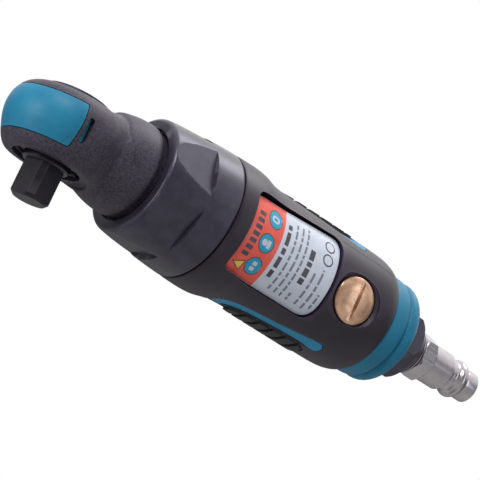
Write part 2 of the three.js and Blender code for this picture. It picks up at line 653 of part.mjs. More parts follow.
function bodyHousing() {
  const skin = onX([...BODY_PROFILE, [HOUSING_END, BOSS_RADIUS], [BOSS_END, BOSS_RADIUS],
    [BOSS_END, 0], [HOUSING_NOSE, 0], [HOUSING_NOSE, 15.7]], 36);
  const motorBore = diskX(HOUSING_NOSE - 1, 92.0, MOTOR_BORE, 32);
  const plugSeat = diskY(-24, -15.9, 7.5, VALVE_X, VALVE_Z, 28);
  const plugBore = diskY(-17, -8, 5.75, VALVE_X, VALVE_Z, 24);
  const chamber = diskY(-9, 5.2, 5.0, VALVE_X, VALVE_Z, 24);
  const upper = diskY(5, 9.0, 3.2, VALVE_X, VALVE_Z, 16);
  const stemBore = diskY(8, 24, 1.75, VALVE_X, VALVE_Z, 14);
  const sealSeat = diskY(15.4, 24, 3.0, VALVE_X, VALVE_Z, 16);
  const motorFeed = diskX(91, VALVE_X, 1.5, 12).translate([0, 7, 0]);
  const inletFeed = diskX(VALVE_X, 110, 3.4, 16).translate([0, -1.5, 0]);
  const inletBore = diskX(108.6, BOSS_END + 1, 8.3, 32);
  const vents = [-1, 1].map((side) => diskX(91, HOUSING_END + 0.5, 1.7, 14).translate([0, 0, side * 12.3]));
  const padSpaces = [-1, 1].map((side) => shellX(17.0, 24).intersect(
    join(padSpace(side, stripeShape(0.3)), padSpace(side, insertShape(0.3)))));
  const plate = plateLayer(-4, 0.6).intersect(plateSpace(0.6));
  const leverFlat = block(60, 111, 19.0, 24, -8, 8);
  const pinBore = sleeveHole(LEVER_X, LEVER_Y, -8, 8, 1.15);
  const body = cut(skin, leverFlat);
  return cut(join(body, ...leverLugs()), motorBore, plugSeat, plugBore, chamber, upper, stemBore,
    sealSeat, motorFeed, inletFeed, inletBore, ...vents, ...padSpaces, plate, pinBore);
}

function namePlate() {
  return plateLayer(0, 0.3).intersect(plateSpace(0));
}

add('body_housing', bodyHousing(), BLACK_PLASTIC);
add('name_plate', namePlate(), LABEL);
add('grip_frame_top', gripFrame(1), TEAL);
add('grip_frame_bottom', gripFrame(-1), TEAL);
add('grip_insert_top', gripInsert(1), BLACK_RUBBER);
add('grip_insert_bottom', gripInsert(-1), BLACK_RUBBER);

// ---------------------------------------------------------------- throttle valve and lever

// A profile of [station, radius] pairs turned about the valve's own axis, along Y.
function onValve(profile, sides = 24) {
  const points = profile.map(([station, radius]) => new THREE.Vector2(radius, station));
  return solid(new THREE.LatheGeometry(points, sides).translate(VALVE_X, 0, VALVE_Z));
}

function valvePlug() {
  const dome = onValve([[-18.7, 0], [-18.6, 2.2], [-18.35, 4.2], [-17.9, 5.7], [-17.2, PLUG_HEAD],
    [-16.6, PLUG_HEAD], [-16.6, 5.5], [-11.4, 5.5], [-11.4, 3.6], [-13.4, 3.6], [-13.4, 0]], 32);
  return cut(dome, block(VALVE_X - 0.65, VALVE_X + 0.65, -20, -17.7, -8.5, 8.5));
}

function valveStem() {
  return onValve([[-3.4, 0], [-3.4, 1.9], [-2.2, 1.9], [-2.2, 3.7], [-0.9, 3.7], [0.6, 2.2], [0.6, 1.5],
    [21.2, 1.5], [21.4, 1.2], [21.4, 0]], 18);
}

function throttleLever() {
  const side = outline([[LEVER_X + 1.6, LEVER_Y - 1.4], [LEVER_X + 2.0, LEVER_Y + 0.6],
    [LEVER_X + 0.6, LEVER_Y + 2.1], [LEVER_X - 2.0, LEVER_Y + 2.6], [90, 25.3], [74, 27.6],
    [63.5, 28.4], [62.0, 27.6], [62.6, 26.6], [74, 25.8], [90, 23.5], [100.5, 21.5],
    [104.6, 21.5], [105.6, 20.9], [LEVER_X - 1.4, LEVER_Y - 1.5]]);
  const blade = alongZ(side, -6.4, 6.4);
  const notches = [-1, 1].map((way) => block(
    104.0, 113, 12, 26, way > 0 ? 4.0 : -8, way > 0 ? 8 : -4.0));
  const pinBore = sleeveHole(LEVER_X, LEVER_Y, -8, 8, 1.15);
  return cut(blade, ...notches, pinBore);
}

add('valve_plug', valvePlug(), BRASS);
add('valve_plug_seal', onValve([[-16.3, 5.9], [-16.3, 6.9], [-16.0, 6.9], [-16.0, 5.9],
  [-16.3, 5.9]], 24), BLACK_RUBBER);
add('valve_spring', coilY(VALVE_X, VALVE_Z, -13.0, -2.5, 2.7, 0.35, 4, 5, 40), STEEL);
add('valve_stem', valveStem(), STEEL);
add('valve_seat', onValve([[1.0, 2.7], [1.0, 4.8], [4.9, 4.8], [4.9, 2.4], [2.2, 2.4], [1.0, 2.7]]), BRASS);
add('stem_seal', onValve([[15.7, 1.7], [15.7, 2.8], [17.6, 2.8], [17.6, 1.7], [15.7, 1.7]], 16),
  BLACK_RUBBER);
add('throttle_lever', throttleLever(), BLACK_PLASTIC);
add('lever_pin', sleeveHole(LEVER_X, LEVER_Y, -6.2, 6.2, 0.95), STEEL);

// ---------------------------------------------------------------- exhaust and air inlet

function exhaustRing() {
  const front = HOUSING_END + GAP;
  const skin = onX([[front, 15.0], [front, 15.9], [116.6, 16.05], [119.0, 15.95], [120.0, 15.6],
    [120.7, 14.85], [121.2, 15.3], [122.2, 15.8], [123.5, 15.65], [124.7, 14.85], [125.4, 13.8],
    [125.4, 12.6], [123.6, 12.6], [120.4, 13.2], [116.5, 14.8], [front, 15.0]], 36);
  const ribs = [0, 1, 2, 3].map((i) => (
    block(120.6, 123.4, 11.85, 14.2, -1, 1).rotate([45 + 90 * i, 0, 0])));
  return join(skin, ...ribs);
}

function inletBush() {
  const hex = prismX(125.2, 132.1, 10.1, 6, 17).intersect(
    onX([[125.2, 0], [125.2, 11.6], [130.2, 11.4], [132.1, 10.0], [132.1, 0]], 36));
  const cone = onX([[131.9, 0], [131.9, 9.9], [134.6, 7.8], [134.6, 0]], 36);
  const spigot = diskX(110.0, 126, 8.1, 32);
  return cut(join(hex, cone, spigot), diskX(109, 121.5, 6.2, 24), diskX(120, 136, 5.0, 24));
}

function inletScreen() {
  return onX([[111.0, 0], [111.0, 4.6], [119.8, 5.6], [120.6, 5.9], [121.2, 5.9], [121.2, 5.3],
    [119.8, 5.0], [111.8, 3.9], [111.8, 0]], 20);
}

function airPlug() {
  const body = onX([[122.4, 3.1], [122.4, 4.5], [123, 4.75], [134.9, 4.75], [134.9, 7.0], [135.1, 7.5],
    [135.5, 7.4], [135.9, 6.6], [135.9, 5.4], [136.5, 5.4], [136.5, 6.0], [149.5, 6.0], [150.2, 4.9],
    [152.8, 4.9], [153.9, 5.9], [155.2, 5.95], [156.2, 5.3], [156.9, 4.6], [157.6, 4.85],
    [160.8, 4.85], [161.3, 4.4], [161.3, 3.1], [122.4, 3.1]], 24);
  const hex = prismX(136.5, 141.2, 6.5, 6, 24.5).intersect(
    onX([[136.5, 0], [136.5, 6.6], [137.3, 7.5], [140.4, 7.5], [141.2, 6.6], [141.2, 0]], 24));
  return cut(join(body, hex), diskX(121, 163, 3.1, 24));
}

add('exhaust_ring', exhaustRing(), TEAL);
add('muffler_felt', sleeveX(114.6, 119.0, 11.9, 13.4, 28), FELT);
add('inlet_bush', inletBush(), BLACK_STEEL);
add('inlet_screen', inletScreen(), BRONZE);
add('air_plug', airPlug(), STEEL);

export default group;
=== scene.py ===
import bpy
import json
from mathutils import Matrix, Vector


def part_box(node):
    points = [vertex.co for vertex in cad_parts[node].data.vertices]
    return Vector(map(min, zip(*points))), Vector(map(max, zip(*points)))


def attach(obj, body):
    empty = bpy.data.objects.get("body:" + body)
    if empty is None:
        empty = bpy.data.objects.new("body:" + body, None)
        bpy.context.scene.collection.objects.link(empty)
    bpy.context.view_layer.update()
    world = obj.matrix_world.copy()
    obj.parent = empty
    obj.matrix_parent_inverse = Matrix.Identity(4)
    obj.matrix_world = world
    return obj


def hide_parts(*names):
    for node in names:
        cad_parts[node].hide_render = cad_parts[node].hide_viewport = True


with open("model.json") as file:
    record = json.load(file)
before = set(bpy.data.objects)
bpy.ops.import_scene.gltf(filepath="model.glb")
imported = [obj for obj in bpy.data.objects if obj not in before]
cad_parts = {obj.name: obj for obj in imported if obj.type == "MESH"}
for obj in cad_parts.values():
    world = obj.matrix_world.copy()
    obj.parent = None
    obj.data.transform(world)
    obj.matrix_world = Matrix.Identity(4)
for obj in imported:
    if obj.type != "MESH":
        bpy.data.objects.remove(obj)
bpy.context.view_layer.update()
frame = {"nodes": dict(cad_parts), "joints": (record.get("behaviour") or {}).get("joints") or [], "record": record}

import json
import math

import bmesh
import bpy
from mathutils import Matrix, Vector

MM = 0.001                         # lengths below are in millimetres, angles in degrees


def hinge(name):
    """Where a joint of the frame turns."""
    joint = next(joint for joint in frame["joints"] if joint["name"] == name)
    return [round(value / MM, 3) for value in joint["pos_m"]]


def span(node, axis, zero=0.0):
    """Where a CAD piece starts and ends along X, Y or Z."""
    return [round(corner["XYZ".index(axis)] / MM - zero, 3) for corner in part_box(node)]


def middle(node, axis):
    return round(sum(span(node, axis)) / 2, 3)


AXIS = hinge("yoke_rock")[2]       # the tool's axis above the drive's tip
LEVER_X, LEVER_Y = hinge("lever_press")[:2]       # the lever's pin, which runs along Z
VALVE = (middle("valve_plug", "X"), 0, middle("valve_plug", "Z"))
SQUARE = 9.53                      # the 3/8 inch drive across its flats
SQUARE_TURN = 17                   # how far the square is turned about Z
SELECTOR_TURN = -30                # how far the knob is turned from the square
FINE = 128                         # sides of a turned surface
FINEST = 192                       # and of the sleeve and the grip, which show long arcs
FLAT_LIMIT = 40                    # faces that meet at less than this look like one surface

scene = bpy.context.scene
scene.view_settings.view_transform = "Standard"


# ---------------------------------------------------------------- camera

def camera_axes(alpha, beta, rho):
    """The object's X, Y and Z axes as the camera sees them: right, up, towards the camera."""
    a, b, r = (math.radians(v) for v in (alpha, beta, rho))
    x = Vector((math.cos(a) * math.cos(r), -math.cos(a) * math.sin(r), -math.sin(a)))
    v = Vector((-math.sin(r), -math.cos(r), 0))
    n = Vector((math.sin(a) * math.cos(r), -math.sin(a) * math.sin(r), math.cos(a)))
    z = -(math.cos(b) * v + math.sin(b) * n)
    y = -(math.cos(b) * n - math.sin(b) * v)
    return x, y, z


AXES = camera_axes(30.8, 15.0, 32.7)
SHIFT = Vector((-47.9, 30.1, -700.0))     # the drive's axis, seen from the camera
LENS, SENSOR = 194.25, 36.0


def from_camera(right, up, back):
    """A direction in the object's frame, from one in the camera's."""
    seen = Vector((right, up, back))
    return Vector([axis.dot(seen) for axis in AXES])


def make_camera():
    data = bpy.data.cameras.new("camera")
    data.lens = LENS
    data.sensor_width = SENSOR
    data.clip_end = 20.0
    place = (Vector((0, 0, AXIS)) - from_camera(*SHIFT)) * MM
    columns = [from_camera(1, 0, 0), from_camera(0, 1, 0), from_camera(0, 0, 1)]
    matrix = Matrix(columns).transposed().to_4x4()
    matrix.translation = place
    camera = bpy.data.objects.new("camera", data)
    camera.matrix_world = matrix
    scene.collection.objects.link(camera)
    scene.camera = camera


make_camera()


# ---------------------------------------------------------------- light and floor

AIM_X = 70.0                       # the lights aim at this station on the tool's axis
BANDS_UP = (0.40, 0.75, -0.50)     # the way the studio's bands are stacked, seen from the camera
BANDS = [(0.0, 0.28), (0.12, 0.62), (0.46, 0.40), (0.58, 0.14), (0.66, 0.22), (0.76, 1.0),
         (1.0, 1.5)]               # height in the stack and brightness
FLOOR_HALF, FLOOR_LEVEL = 4.0, -0.34      # in metres


def area_light(name, seen_at, size, power, colour=(1, 1, 1)):
    """A soft area light that aims at the tool, placed from there as the camera sees it."""
    data = bpy.data.lights.new(name, "AREA")
    data.shape = "RECTANGLE"
    data.size, data.size_y = size
    data.energy = power
    data.color = colour
    light = bpy.data.objects.new(name, data)
    aim = Vector((AIM_X, 0, AXIS)) * MM
    light.location = aim + from_camera(*seen_at)
    light.rotation_euler = (aim - light.location).to_track_quat("-Z", "Y").to_euler()
    scene.collection.objects.link(light)


def make_world():
    """White paper for the camera, and a studio's light and dark bands for everything else."""
    world = bpy.data.worlds.new("studio")
    world.use_nodes = True
    tree = world.node_tree
    background = tree.nodes["Background"]
    place = tree.nodes.new("ShaderNodeTexCoord")
    height = tree.nodes.new("ShaderNodeVectorMath")
    height.operation = "DOT_PRODUCT"
    height.inputs[1].default_value = from_camera(*BANDS_UP)
    tree.links.new(place.outputs["Generated"], height.inputs[0])
    share = tree.nodes.new("ShaderNodeMapRange")
    share.inputs["From Min"].default_value = -1.0
    tree.links.new(height.outputs["Value"], share.inputs["Value"])
    ramp = tree.nodes.new("ShaderNodeValToRGB")
    ramp.color_ramp.interpolation = "EASE"
    bands = ramp.color_ramp.elements
    while len(bands) < len(BANDS):
        bands.new(0.5)
    for band, (position, level) in zip(bands, BANDS):
        band.position = position
        band.color = (level, level, level, 1.0)
    tree.links.new(share.outputs[0], ramp.inputs["Fac"])
    path = tree.nodes.new("ShaderNodeLightPath")
    paper = tree.nodes.new("ShaderNodeMix")
    paper.data_type = "RGBA"
    colours = [socket for socket in paper.inputs if socket.type == "RGBA"]
    tree.links.new(path.outputs["Is Camera Ray"], paper.inputs["Factor"])
    tree.links.new(ramp.outputs["Color"], colours[0])
    colours[1].default_value = (1.0, 1.0, 1.0, 1.0)
    mixed = [socket for socket in paper.outputs if socket.type == "RGBA"][0]
    tree.links.new(mixed, background.inputs["Color"])
    scene.world = world


def make_lights():
    """Directions and sizes are in metres, seen from the camera."""
    area_light("key", (0.05, 0.62, 0.42), (0.34, 0.16), 2.6)
    area_light("fill", (-0.60, 0.38, 0.42), (0.30, 0.30), 2.8, (0.90, 0.94, 1.0))
    area_light("rim", (0.45, 0.55, -0.30), (0.30, 0.40), 1.8)
    area_light("strip", (0.50, -0.04, 0.21), (0.12, 0.34), 0.3, (0.80, 0.88, 1.0))


def make_floor():
    """White paper far below the tool. It lights nothing and isn't mirrored in anything."""
    mesh = bpy.data.meshes.new("floor")
    corners = [(x * FLOOR_HALF, y * FLOOR_HALF, FLOOR_LEVEL)
               for x, y in ((-1, -1), (1, -1), (1, 1), (-1, 1))]
    mesh.from_pydata(corners, [], [(0, 1, 2, 3)])
    floor = bpy.data.objects.new("floor", mesh)
    scene.collection.objects.link(floor)
    material = bpy.data.materials.new("floor_paper")
    material.use_nodes = True
    shader = material.node_tree.nodes["Principled BSDF"]
    shader.inputs["Base Color"].default_value = (0.9, 0.9, 0.9, 1)
    shader.inputs["Roughness"].default_value = 0.9
    mesh.materials.append(material)
    floor.visible_diffuse = False
    floor.visible_glossy = False


make_world()
make_lights()
make_floor()


# ---------------------------------------------------------------- materials

class Nodes:
    """A short way to write a material's node tree around one Principled shader."""

    def __init__(self, name):
        self.material = bpy.data.materials.new(name)
        self.material.use_nodes = True
        self.tree = self.material.node_tree
        self.shader = self.tree.nodes["Principled BSDF"]
        place = self.new("ShaderNodeTexCoord")
        scale = self.new("ShaderNodeVectorMath", operation="SCALE")
        self.link(place.outputs["Object"], scale.inputs[0])
        scale.inputs["Scale"].default_value = 1000.0
        self.place = scale.outputs[0]              # millimetres in the object's frame

    def new(self, kind, **settings):
        node = self.tree.nodes.new(kind)
        for key, value in settings.items():
            setattr(node, key, value)
        return node

    def link(self, source, target):
        self.tree.links.new(source, target)

    def radius(self, axis, centre):
        """Distance from an axis that runs through the centre."""
        shift = self.new("ShaderNodeVectorMath", operation="SUBTRACT")
        self.link(self.place, shift.inputs[0])
        shift.inputs[1].default_value = centre
        mask = self.new("ShaderNodeVectorMath", operation="MULTIPLY")
        self.link(shift.outputs[0], mask.inputs[0])
        mask.inputs[1].default_value = [0.0 if letter == axis else 1.0 for letter in "XYZ"]
        length = self.new("ShaderNodeVectorMath", operation="LENGTH")
        self.link(mask.outputs[0], length.inputs[0])
        return length.outputs["Value"]

    def noise(self, scale, detail=3.0, rough=0.5, distortion=0.0):
        node = self.new("ShaderNodeTexNoise")
        node.inputs["Scale"].default_value = scale
        node.inputs["Detail"].default_value = detail
        node.inputs["Roughness"].default_value = rough
        node.inputs["Distortion"].default_value = distortion
        self.link(self.place, node.inputs["Vector"])
        return node.outputs["Fac"]

    def lines(self, value, scale, detail=2.0):
        """Noise along one number, for turned and brushed marks."""
        node = self.new("ShaderNodeTexNoise", noise_dimensions="1D")
        node.inputs["Scale"].default_value = scale
        node.inputs["Detail"].default_value = detail
        self.link(value, node.inputs["W"])
        return node.outputs["Fac"]

    def remap(self, value, low, high, to_low, to_high):
        """Takes the range from low to high to a new one, and holds it there."""
        node = self.new("ShaderNodeMapRange")
        for key, number in (("From Min", low), ("From Max", high), ("To Min", to_low),
                            ("To Max", to_high)):
            node.inputs[key].default_value = number
        self.link(value, node.inputs["Value"])
        return node.outputs[0]

    def maths(self, operation, a, b):
        node = self.new("ShaderNodeMath", operation=operation)
        for slot, value in enumerate((a, b)):
            if isinstance(value, (int, float)):
                node.inputs[slot].default_value = value
            else:
                self.link(value, node.inputs[slot])
        return node.outputs[0]

    def mix(self, factor, first, second):
        node = self.new("ShaderNodeMix", data_type="RGBA")
        self.link(factor, node.inputs["Factor"])
        for name, value in (("A", first), ("B", second)):
            socket = [s for s in node.inputs if s.name == name and s.type == "RGBA"][0]
            if isinstance(value, tuple):
                socket.default_value = (*value, 1.0)
            else:
                self.link(value, socket)
        return [s for s in node.outputs if s.type == "RGBA"][0]

    def worn_edges(self, low, high):
        """From 0 on flat ground to 1 on sharp outer edges."""
        node = self.new("ShaderNodeNewGeometry")
        return self.remap(node.outputs["Pointiness"], low, high, 0.0, 1.0)

    def colour(self, value):
        self.link(value, self.shader.inputs["Base Color"])

    def rough(self, value):
        self.link(value, self.shader.inputs["Roughness"])

    def bump(self, height, distance, strength):
        node = self.new("ShaderNodeBump")
        node.inputs["Distance"].default_value = distance * MM
        node.inputs["Strength"].default_value = strength
        self.link(height, node.inputs["Height"])
        self.link(node.outputs[0], self.shader.inputs["Normal"])

    def set(self, **values):
        for key, value in values.items():
            self.shader.inputs[key.replace("_", " ")].default_value = value


def srgb(r, g, b):
    """A colour as a screen shows it, from 0 to 255, turned to linear light."""
    def one(v):
        v /= 255.0
        return v / 12.92 if v <= 0.04045 else ((v + 0.055) / 1.055) ** 2.4
    return (one(r), one(g), one(b))


def cast_steel():
    """Dark phosphated casting with a sandy grain."""
    n = Nodes("cast_steel")
    grain = n.noise(1.8, 4.0, 0.7)
    cloud = n.noise(0.16, 3.0)
    base = n.mix(n.remap(cloud, 0.35, 0.65, 0, 1), srgb(38, 31, 43), srgb(50, 44, 56))
    n.colour(n.mix(n.remap(grain, 0.38, 0.68, 0, 0.8), base, srgb(88, 83, 98)))
    n.rough(n.remap(grain, 0.3, 0.7, 0.44, 0.60))
    n.bump(grain, 0.07, 0.5)
    n.set(Metallic=0.35, Specular_IOR_Level=0.5)
    return n.material


def black_steel(name, dark, light, edge):
    """Turned and blackened steel with an oily coat and worn edges."""
    n = Nodes(name)
    cloud = n.noise(0.25, 3.0)
    fine = n.noise(3.5, 2.0)
    rings = n.lines(n.radius("Y", (0, 0, AXIS)), 4.0)
    base = n.mix(n.remap(cloud, 0.3, 0.7, 0, 1), dark, light)
    n.colour(n.mix(n.worn_edges(0.54, 0.68), base, edge))
    n.rough(n.remap(n.maths("ADD", fine, rings), 0.6, 1.4, 0.26, 0.42))
    n.bump(fine, 0.02, 0.25)
    n.set(Metallic=0.35, Coat_Weight=0.14, Coat_Roughness=0.30)
    return n.material


def plastic(name, dark, light, low, high, texture=4.0, height=0.03, strength=0.35, worn=1.6,
            shine=0.5):
    """Moulded plastic: low and high bound its roughness, worn brightens its outer edges."""
    n = Nodes(name)
    cloud = n.noise(0.12, 3.0)
    pores = n.noise(texture, 3.0, 0.6)
    base = n.mix(n.remap(cloud, 0.3, 0.7, 0, 1), dark, light)
    n.colour(n.mix(n.worn_edges(0.55, 0.70), base, tuple(min(1, v * worn) for v in light)))
    n.rough(n.remap(pores, 0.3, 0.7, low, high))
    n.bump(pores, height, strength)
    n.set(Specular_IOR_Level=shine)
    return n.material


def metal(name, dark, light, low, high, axis="X", centre=(0, 0, AXIS), marks=5.0, height=0.012,
          metallic=1.0, stains=0.35):
    """Turned metal: fine rings about an axis, with faint stains."""
    n = Nodes(name)
    cloud = n.noise(stains, 4.0, 0.6, distortion=0.4)
    rings = n.lines(n.radius(axis, centre), marks, 3.0)
    along = n.new("ShaderNodeSeparateXYZ")
    n.link(n.place, along.inputs[0])
    steps = n.lines(along.outputs["XYZ".index(axis)], marks, 3.0)
    both = n.maths("ADD", rings, steps)
    n.colour(n.mix(n.remap(cloud, 0.32, 0.68, 0, 1), dark, light))
    n.rough(n.remap(both, 0.7, 1.3, low, high))
    n.bump(both, height, 0.4)
    n.set(Metallic=metallic)
    return n.material


def printed(name, colour, shade):
    """Satin print on a plastic film."""
    n = Nodes(name)
    cloud = n.noise(0.4, 3.0)
    fleck = n.noise(9.0, 2.0)
    n.colour(n.mix(n.remap(cloud, 0.3, 0.7, 0, 1), colour, shade))
    n.rough(n.remap(fleck, 0.3, 0.7, 0.30, 0.42))
    n.bump(fleck, 0.006, 0.25)
    return n.material


def felt():
    n = Nodes("felt")
    fibre = n.noise(5.0, 6.0, 0.75, distortion=1.5)
    n.colour(n.mix(n.remap(fibre, 0.3, 0.7, 0, 1), srgb(160, 155, 140), srgb(216, 211, 198)))
    n.bump(fibre, 0.2, 0.9)
    n.set(Roughness=0.95, Sheen_Weight=0.3)
    return n.material


CAST = cast_steel()
OXIDE = black_steel("black_steel", srgb(48, 43, 56), srgb(60, 57, 74), srgb(92, 90, 98))
DRIVE = black_steel("drive_steel", srgb(30, 25, 34), srgb(38, 33, 43), srgb(60, 56, 66))
HOUSING = plastic("black_composite", srgb(28, 18, 32), srgb(38, 28, 43), 0.38, 0.50, shine=0.42)
RUBBER = plastic("black_rubber", srgb(24, 23, 26), srgb(34, 33, 37), 0.55, 0.75, 6.0, 0.04, 0.5)
TEAL = plastic("teal_trim", srgb(18, 106, 138), srgb(26, 120, 152), 0.40, 0.52,
               worn=1.0, shine=0.3)
# A brighter copy of the teal trim. It paints light onto the grip's stripes, which are the same teal plastic and
# sit in shade in their recesses.
TEAL_WITH_PAINTED_LIGHT = plastic("teal_trim_painted_light", srgb(20, 124, 164), srgb(28, 134, 174), 0.40, 0.52,
                 worn=1.0, shine=0.3)
STEEL = metal("steel", srgb(150, 148, 150), srgb(188, 186, 188), 0.22, 0.36)
NICKEL = metal("nickel", srgb(170, 163, 167), srgb(182, 175, 178), 0.20, 0.30)
BRASS = metal("brass", srgb(150, 108, 88), srgb(238, 194, 160), 0.22, 0.34, "Y", VALVE,
              6.0, 0.015, 0.6, 0.16)
BRONZE = metal("bronze", srgb(130, 92, 50), srgb(172, 132, 80), 0.35, 0.5)
PLATE = printed("plate", srgb(200, 206, 218), srgb(190, 197, 210))
RED = printed("plate_red", srgb(232, 92, 74), srgb(222, 80, 64))
BLUE = printed("plate_teal", srgb(10, 158, 190), srgb(10, 148, 180))
YELLOW = printed("plate_yellow", srgb(240, 196, 70), srgb(232, 184, 54))
INK = printed("plate_ink", srgb(58, 56, 64), srgb(74, 72, 80))
SOFT_INK = printed("plate_soft_ink", srgb(112, 112, 124), srgb(124, 124, 136))
VANE = plastic("vane", srgb(96, 62, 34), srgb(124, 86, 52), 0.6, 0.75, 2.0, 0.03)
FELT = felt()

SLOTS = {"cast_steel": CAST, "black_steel": OXIDE, "teal_trim": TEAL, "black_composite": HOUSING,
         "black_rubber": RUBBER, "steel": STEEL, "nickel": NICKEL, "brass": BRASS,
         "bronze": BRONZE, "plate": PLATE, "vane": VANE, "felt": FELT}


# ---------------------------------------------------------------- outlines and solids

def arc_points(x, y, radius, first, last, steps):
    """Points on a circle from one angle to another, both ends included."""
    angles = [math.radians(first + (last - first) * i / steps) for i in range(steps + 1)]
    return [(x + radius * math.cos(a), y + radius * math.sin(a)) for a in angles]


def circle(x, y, radius, steps=32, first=0):
    return arc_points(x, y, radius, first, first + 360, steps)[:-1]


def smooth_path(points, steps=8):
    """A rounded run through the points, for the curved part of a profile."""
    ends = [points[0], *points, points[-1]]
    run = []
    for i in range(1, len(ends) - 2):
        p0, p1, p2, p3 = (Vector(ends[k]) for k in (i - 1, i, i + 1, i + 2))
        for s in range(steps):
            t = s / steps
            spot = 0.5 * (2 * p1 + (p2 - p0) * t + (2 * p0 - 5 * p1 + 4 * p2 - p3) * t * t
                          + (3 * p1 - p0 - 3 * p2 + p3) * t ** 3)
            run.append(tuple(spot))
    run.append(tuple(points[-1]))
    return run


def build(name, verts, faces):
    """An object from vertices in millimetres, in the part's frame."""
    mesh = bpy.data.meshes.new(name)
    mesh.from_pydata([Vector(v) * MM for v in verts], [], faces)
    work = bmesh.new()
    work.from_mesh(mesh)
    bmesh.ops.remove_doubles(work, verts=work.verts, dist=1e-7)
    bmesh.ops.recalc_face_normals(work, faces=work.faces)
    if work.calc_volume(signed=True) < 0:
        bmesh.ops.reverse_faces(work, faces=work.faces)
    work.to_mesh(mesh)
    work.free()
    thing = bpy.data.objects.new(name, mesh)
    scene.collection.objects.link(thing)
    return thing


def turned(profile, axis="X", sides=FINE, centre=(0, 0, AXIS)):
    """A profile of (station, radius) turned about an axis. It closes on itself or on the axis."""
    points = list(profile)
    looped = points[0] == points[-1]
    if looped:
        points = points[:-1]
    verts, rings = [], []
    for station, radius in points:
        count = 1 if radius < 1e-9 else sides
        ring = []
        for i in range(count):
            angle = 2 * math.pi * i / sides
            a, b = radius * math.cos(angle), radius * math.sin(angle)
            spot = {"X": (station, a, b), "Y": (b, station, a), "Z": (a, b, station)}[axis]
            ring.append(len(verts))
            verts.append([spot[k] + centre[k] for k in range(3)])
        rings.append(ring)
    pairs = list(zip(rings, rings[1:]))
    if looped:
        pairs.append((rings[-1], rings[0]))
    faces = []
    for first, second in pairs:
        for i in range(sides):
            j = (i + 1) % sides
            if len(first) == 1 and len(second) == 1:
                continue
            if len(first) == 1:
                faces.append((first[0], second[j], second[i]))
            elif len(second) == 1:
                faces.append((first[i], first[j], second[0]))
            else:
                faces.append((first[i], first[j], second[j], second[i]))
    return build("turned", verts, faces)


def prism(outline, axis, start, end):
    """An outline drawn out along an axis. For X it holds (y, z), for Y (x, z), for Z (x, y)."""
    count = len(outline)
    verts = []
    for station in (start, end):
        for a, b in outline:
            verts.append({"X": (station, a, b), "Y": (a, station, b), "Z": (a, b, station)}[axis])
    faces = [tuple(range(count)), tuple(range(2 * count - 1, count - 1, -1))]
    for i in range(count):
        j = (i + 1) % count
        faces.append((i, j, count + j, count + i))
    return build("prism", verts, faces)


def box(x0, x1, y0, y1, z0, z1):
    """Z is measured from the drive's tip, as in the frame."""
    return prism([(x0, y0), (x1, y0), (x1, y1), (x0, y1)], "Z", z0, z1)


def disk(axis, start, end, radius, centre=(0, 0, AXIS), sides=FINE):
    """A plain cylinder. Start and end are measured from the centre."""
    return turned([(start, 0), (start, radius), (end, radius), (end, 0)], axis, sides, centre)


def applied(thing):
    """The object with its modifiers made part of its mesh."""
    graph = bpy.context.evaluated_depsgraph_get()
    mesh = bpy.data.meshes.new_from_object(thing.evaluated_get(graph))
    old = thing.data
    thing.modifiers.clear()
    thing.data = mesh
    bpy.data.meshes.remove(old)
    return thing


def combine(base, operation, *tools):
    """Cuts the tools from the base, joins them to it, or keeps what they share."""
    for tool in tools:
        step = base.modifiers.new("step", "BOOLEAN")
        step.operation = operation
        step.object = tool
        step.solver = "MANIFOLD"
    applied(base)
    for tool in tools:
        mesh = tool.data
        bpy.data.objects.remove(tool)
        bpy.data.meshes.remove(mesh)
    return base


def cut(base, *tools):
    return combine(base, "DIFFERENCE", *tools)


def join(base, *tools):
    return combine(base, "UNION", *tools)


def common(base, *tools):
    return combine(base, "INTERSECT", *tools)


def round_edges(thing, width, segments=2):
    """Gives every edge that turns by more than 32 degrees a small round."""
    edges = thing.modifiers.new("edges", "BEVEL")
    edges.width = width * MM
    edges.segments = segments
    edges.limit_method = "ANGLE"
    edges.angle_limit = math.radians(32)
    edges.use_clamp_overlap = True
    edges.harden_normals = False
    return applied(thing)


def finish(thing, name, body, slot, nodes=(), edge=0.2, segments=2, paint=None):
    """Names a piece, rounds its edges, paints it and puts it on its body.

    The material is the slot's own, unless the piece has a paint of its own."""
    thing.name = name
    thing.data.name = name
    if edge:
        round_edges(thing, edge, segments)
    thing.data.shade_smooth()
    if edge:
        normals = thing.modifiers.new("normals", "WEIGHTED_NORMAL")
        normals.keep_sharp = True
        normals.weight = 60
    thing.data.set_sharp_from_angle(angle=math.radians(FLAT_LIMIT))
    thing.data.materials.clear()
    thing.data.materials.append(paint or SLOTS[slot])
    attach(thing, body)
    if nodes:
        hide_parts(*nodes)


def turn_about_drive(thing, degrees):
    thing.data.transform(Matrix.Rotation(math.radians(degrees), 4, "Z"))
    return thing


def turn_about_tool(thing, degrees):
    """Turns a piece that was drawn about the X axis, and lifts it to the tool's axis."""
    thing.data.transform(Matrix.Rotation(math.radians(degrees), 4, "X"))
    thing.data.transform(Matrix.Translation((0, 0, AXIS * MM)))
    return thing


# ---------------------------------------------------------------- ratchet head
# In a profile about Z, stations are heights above or below the tool's axis.

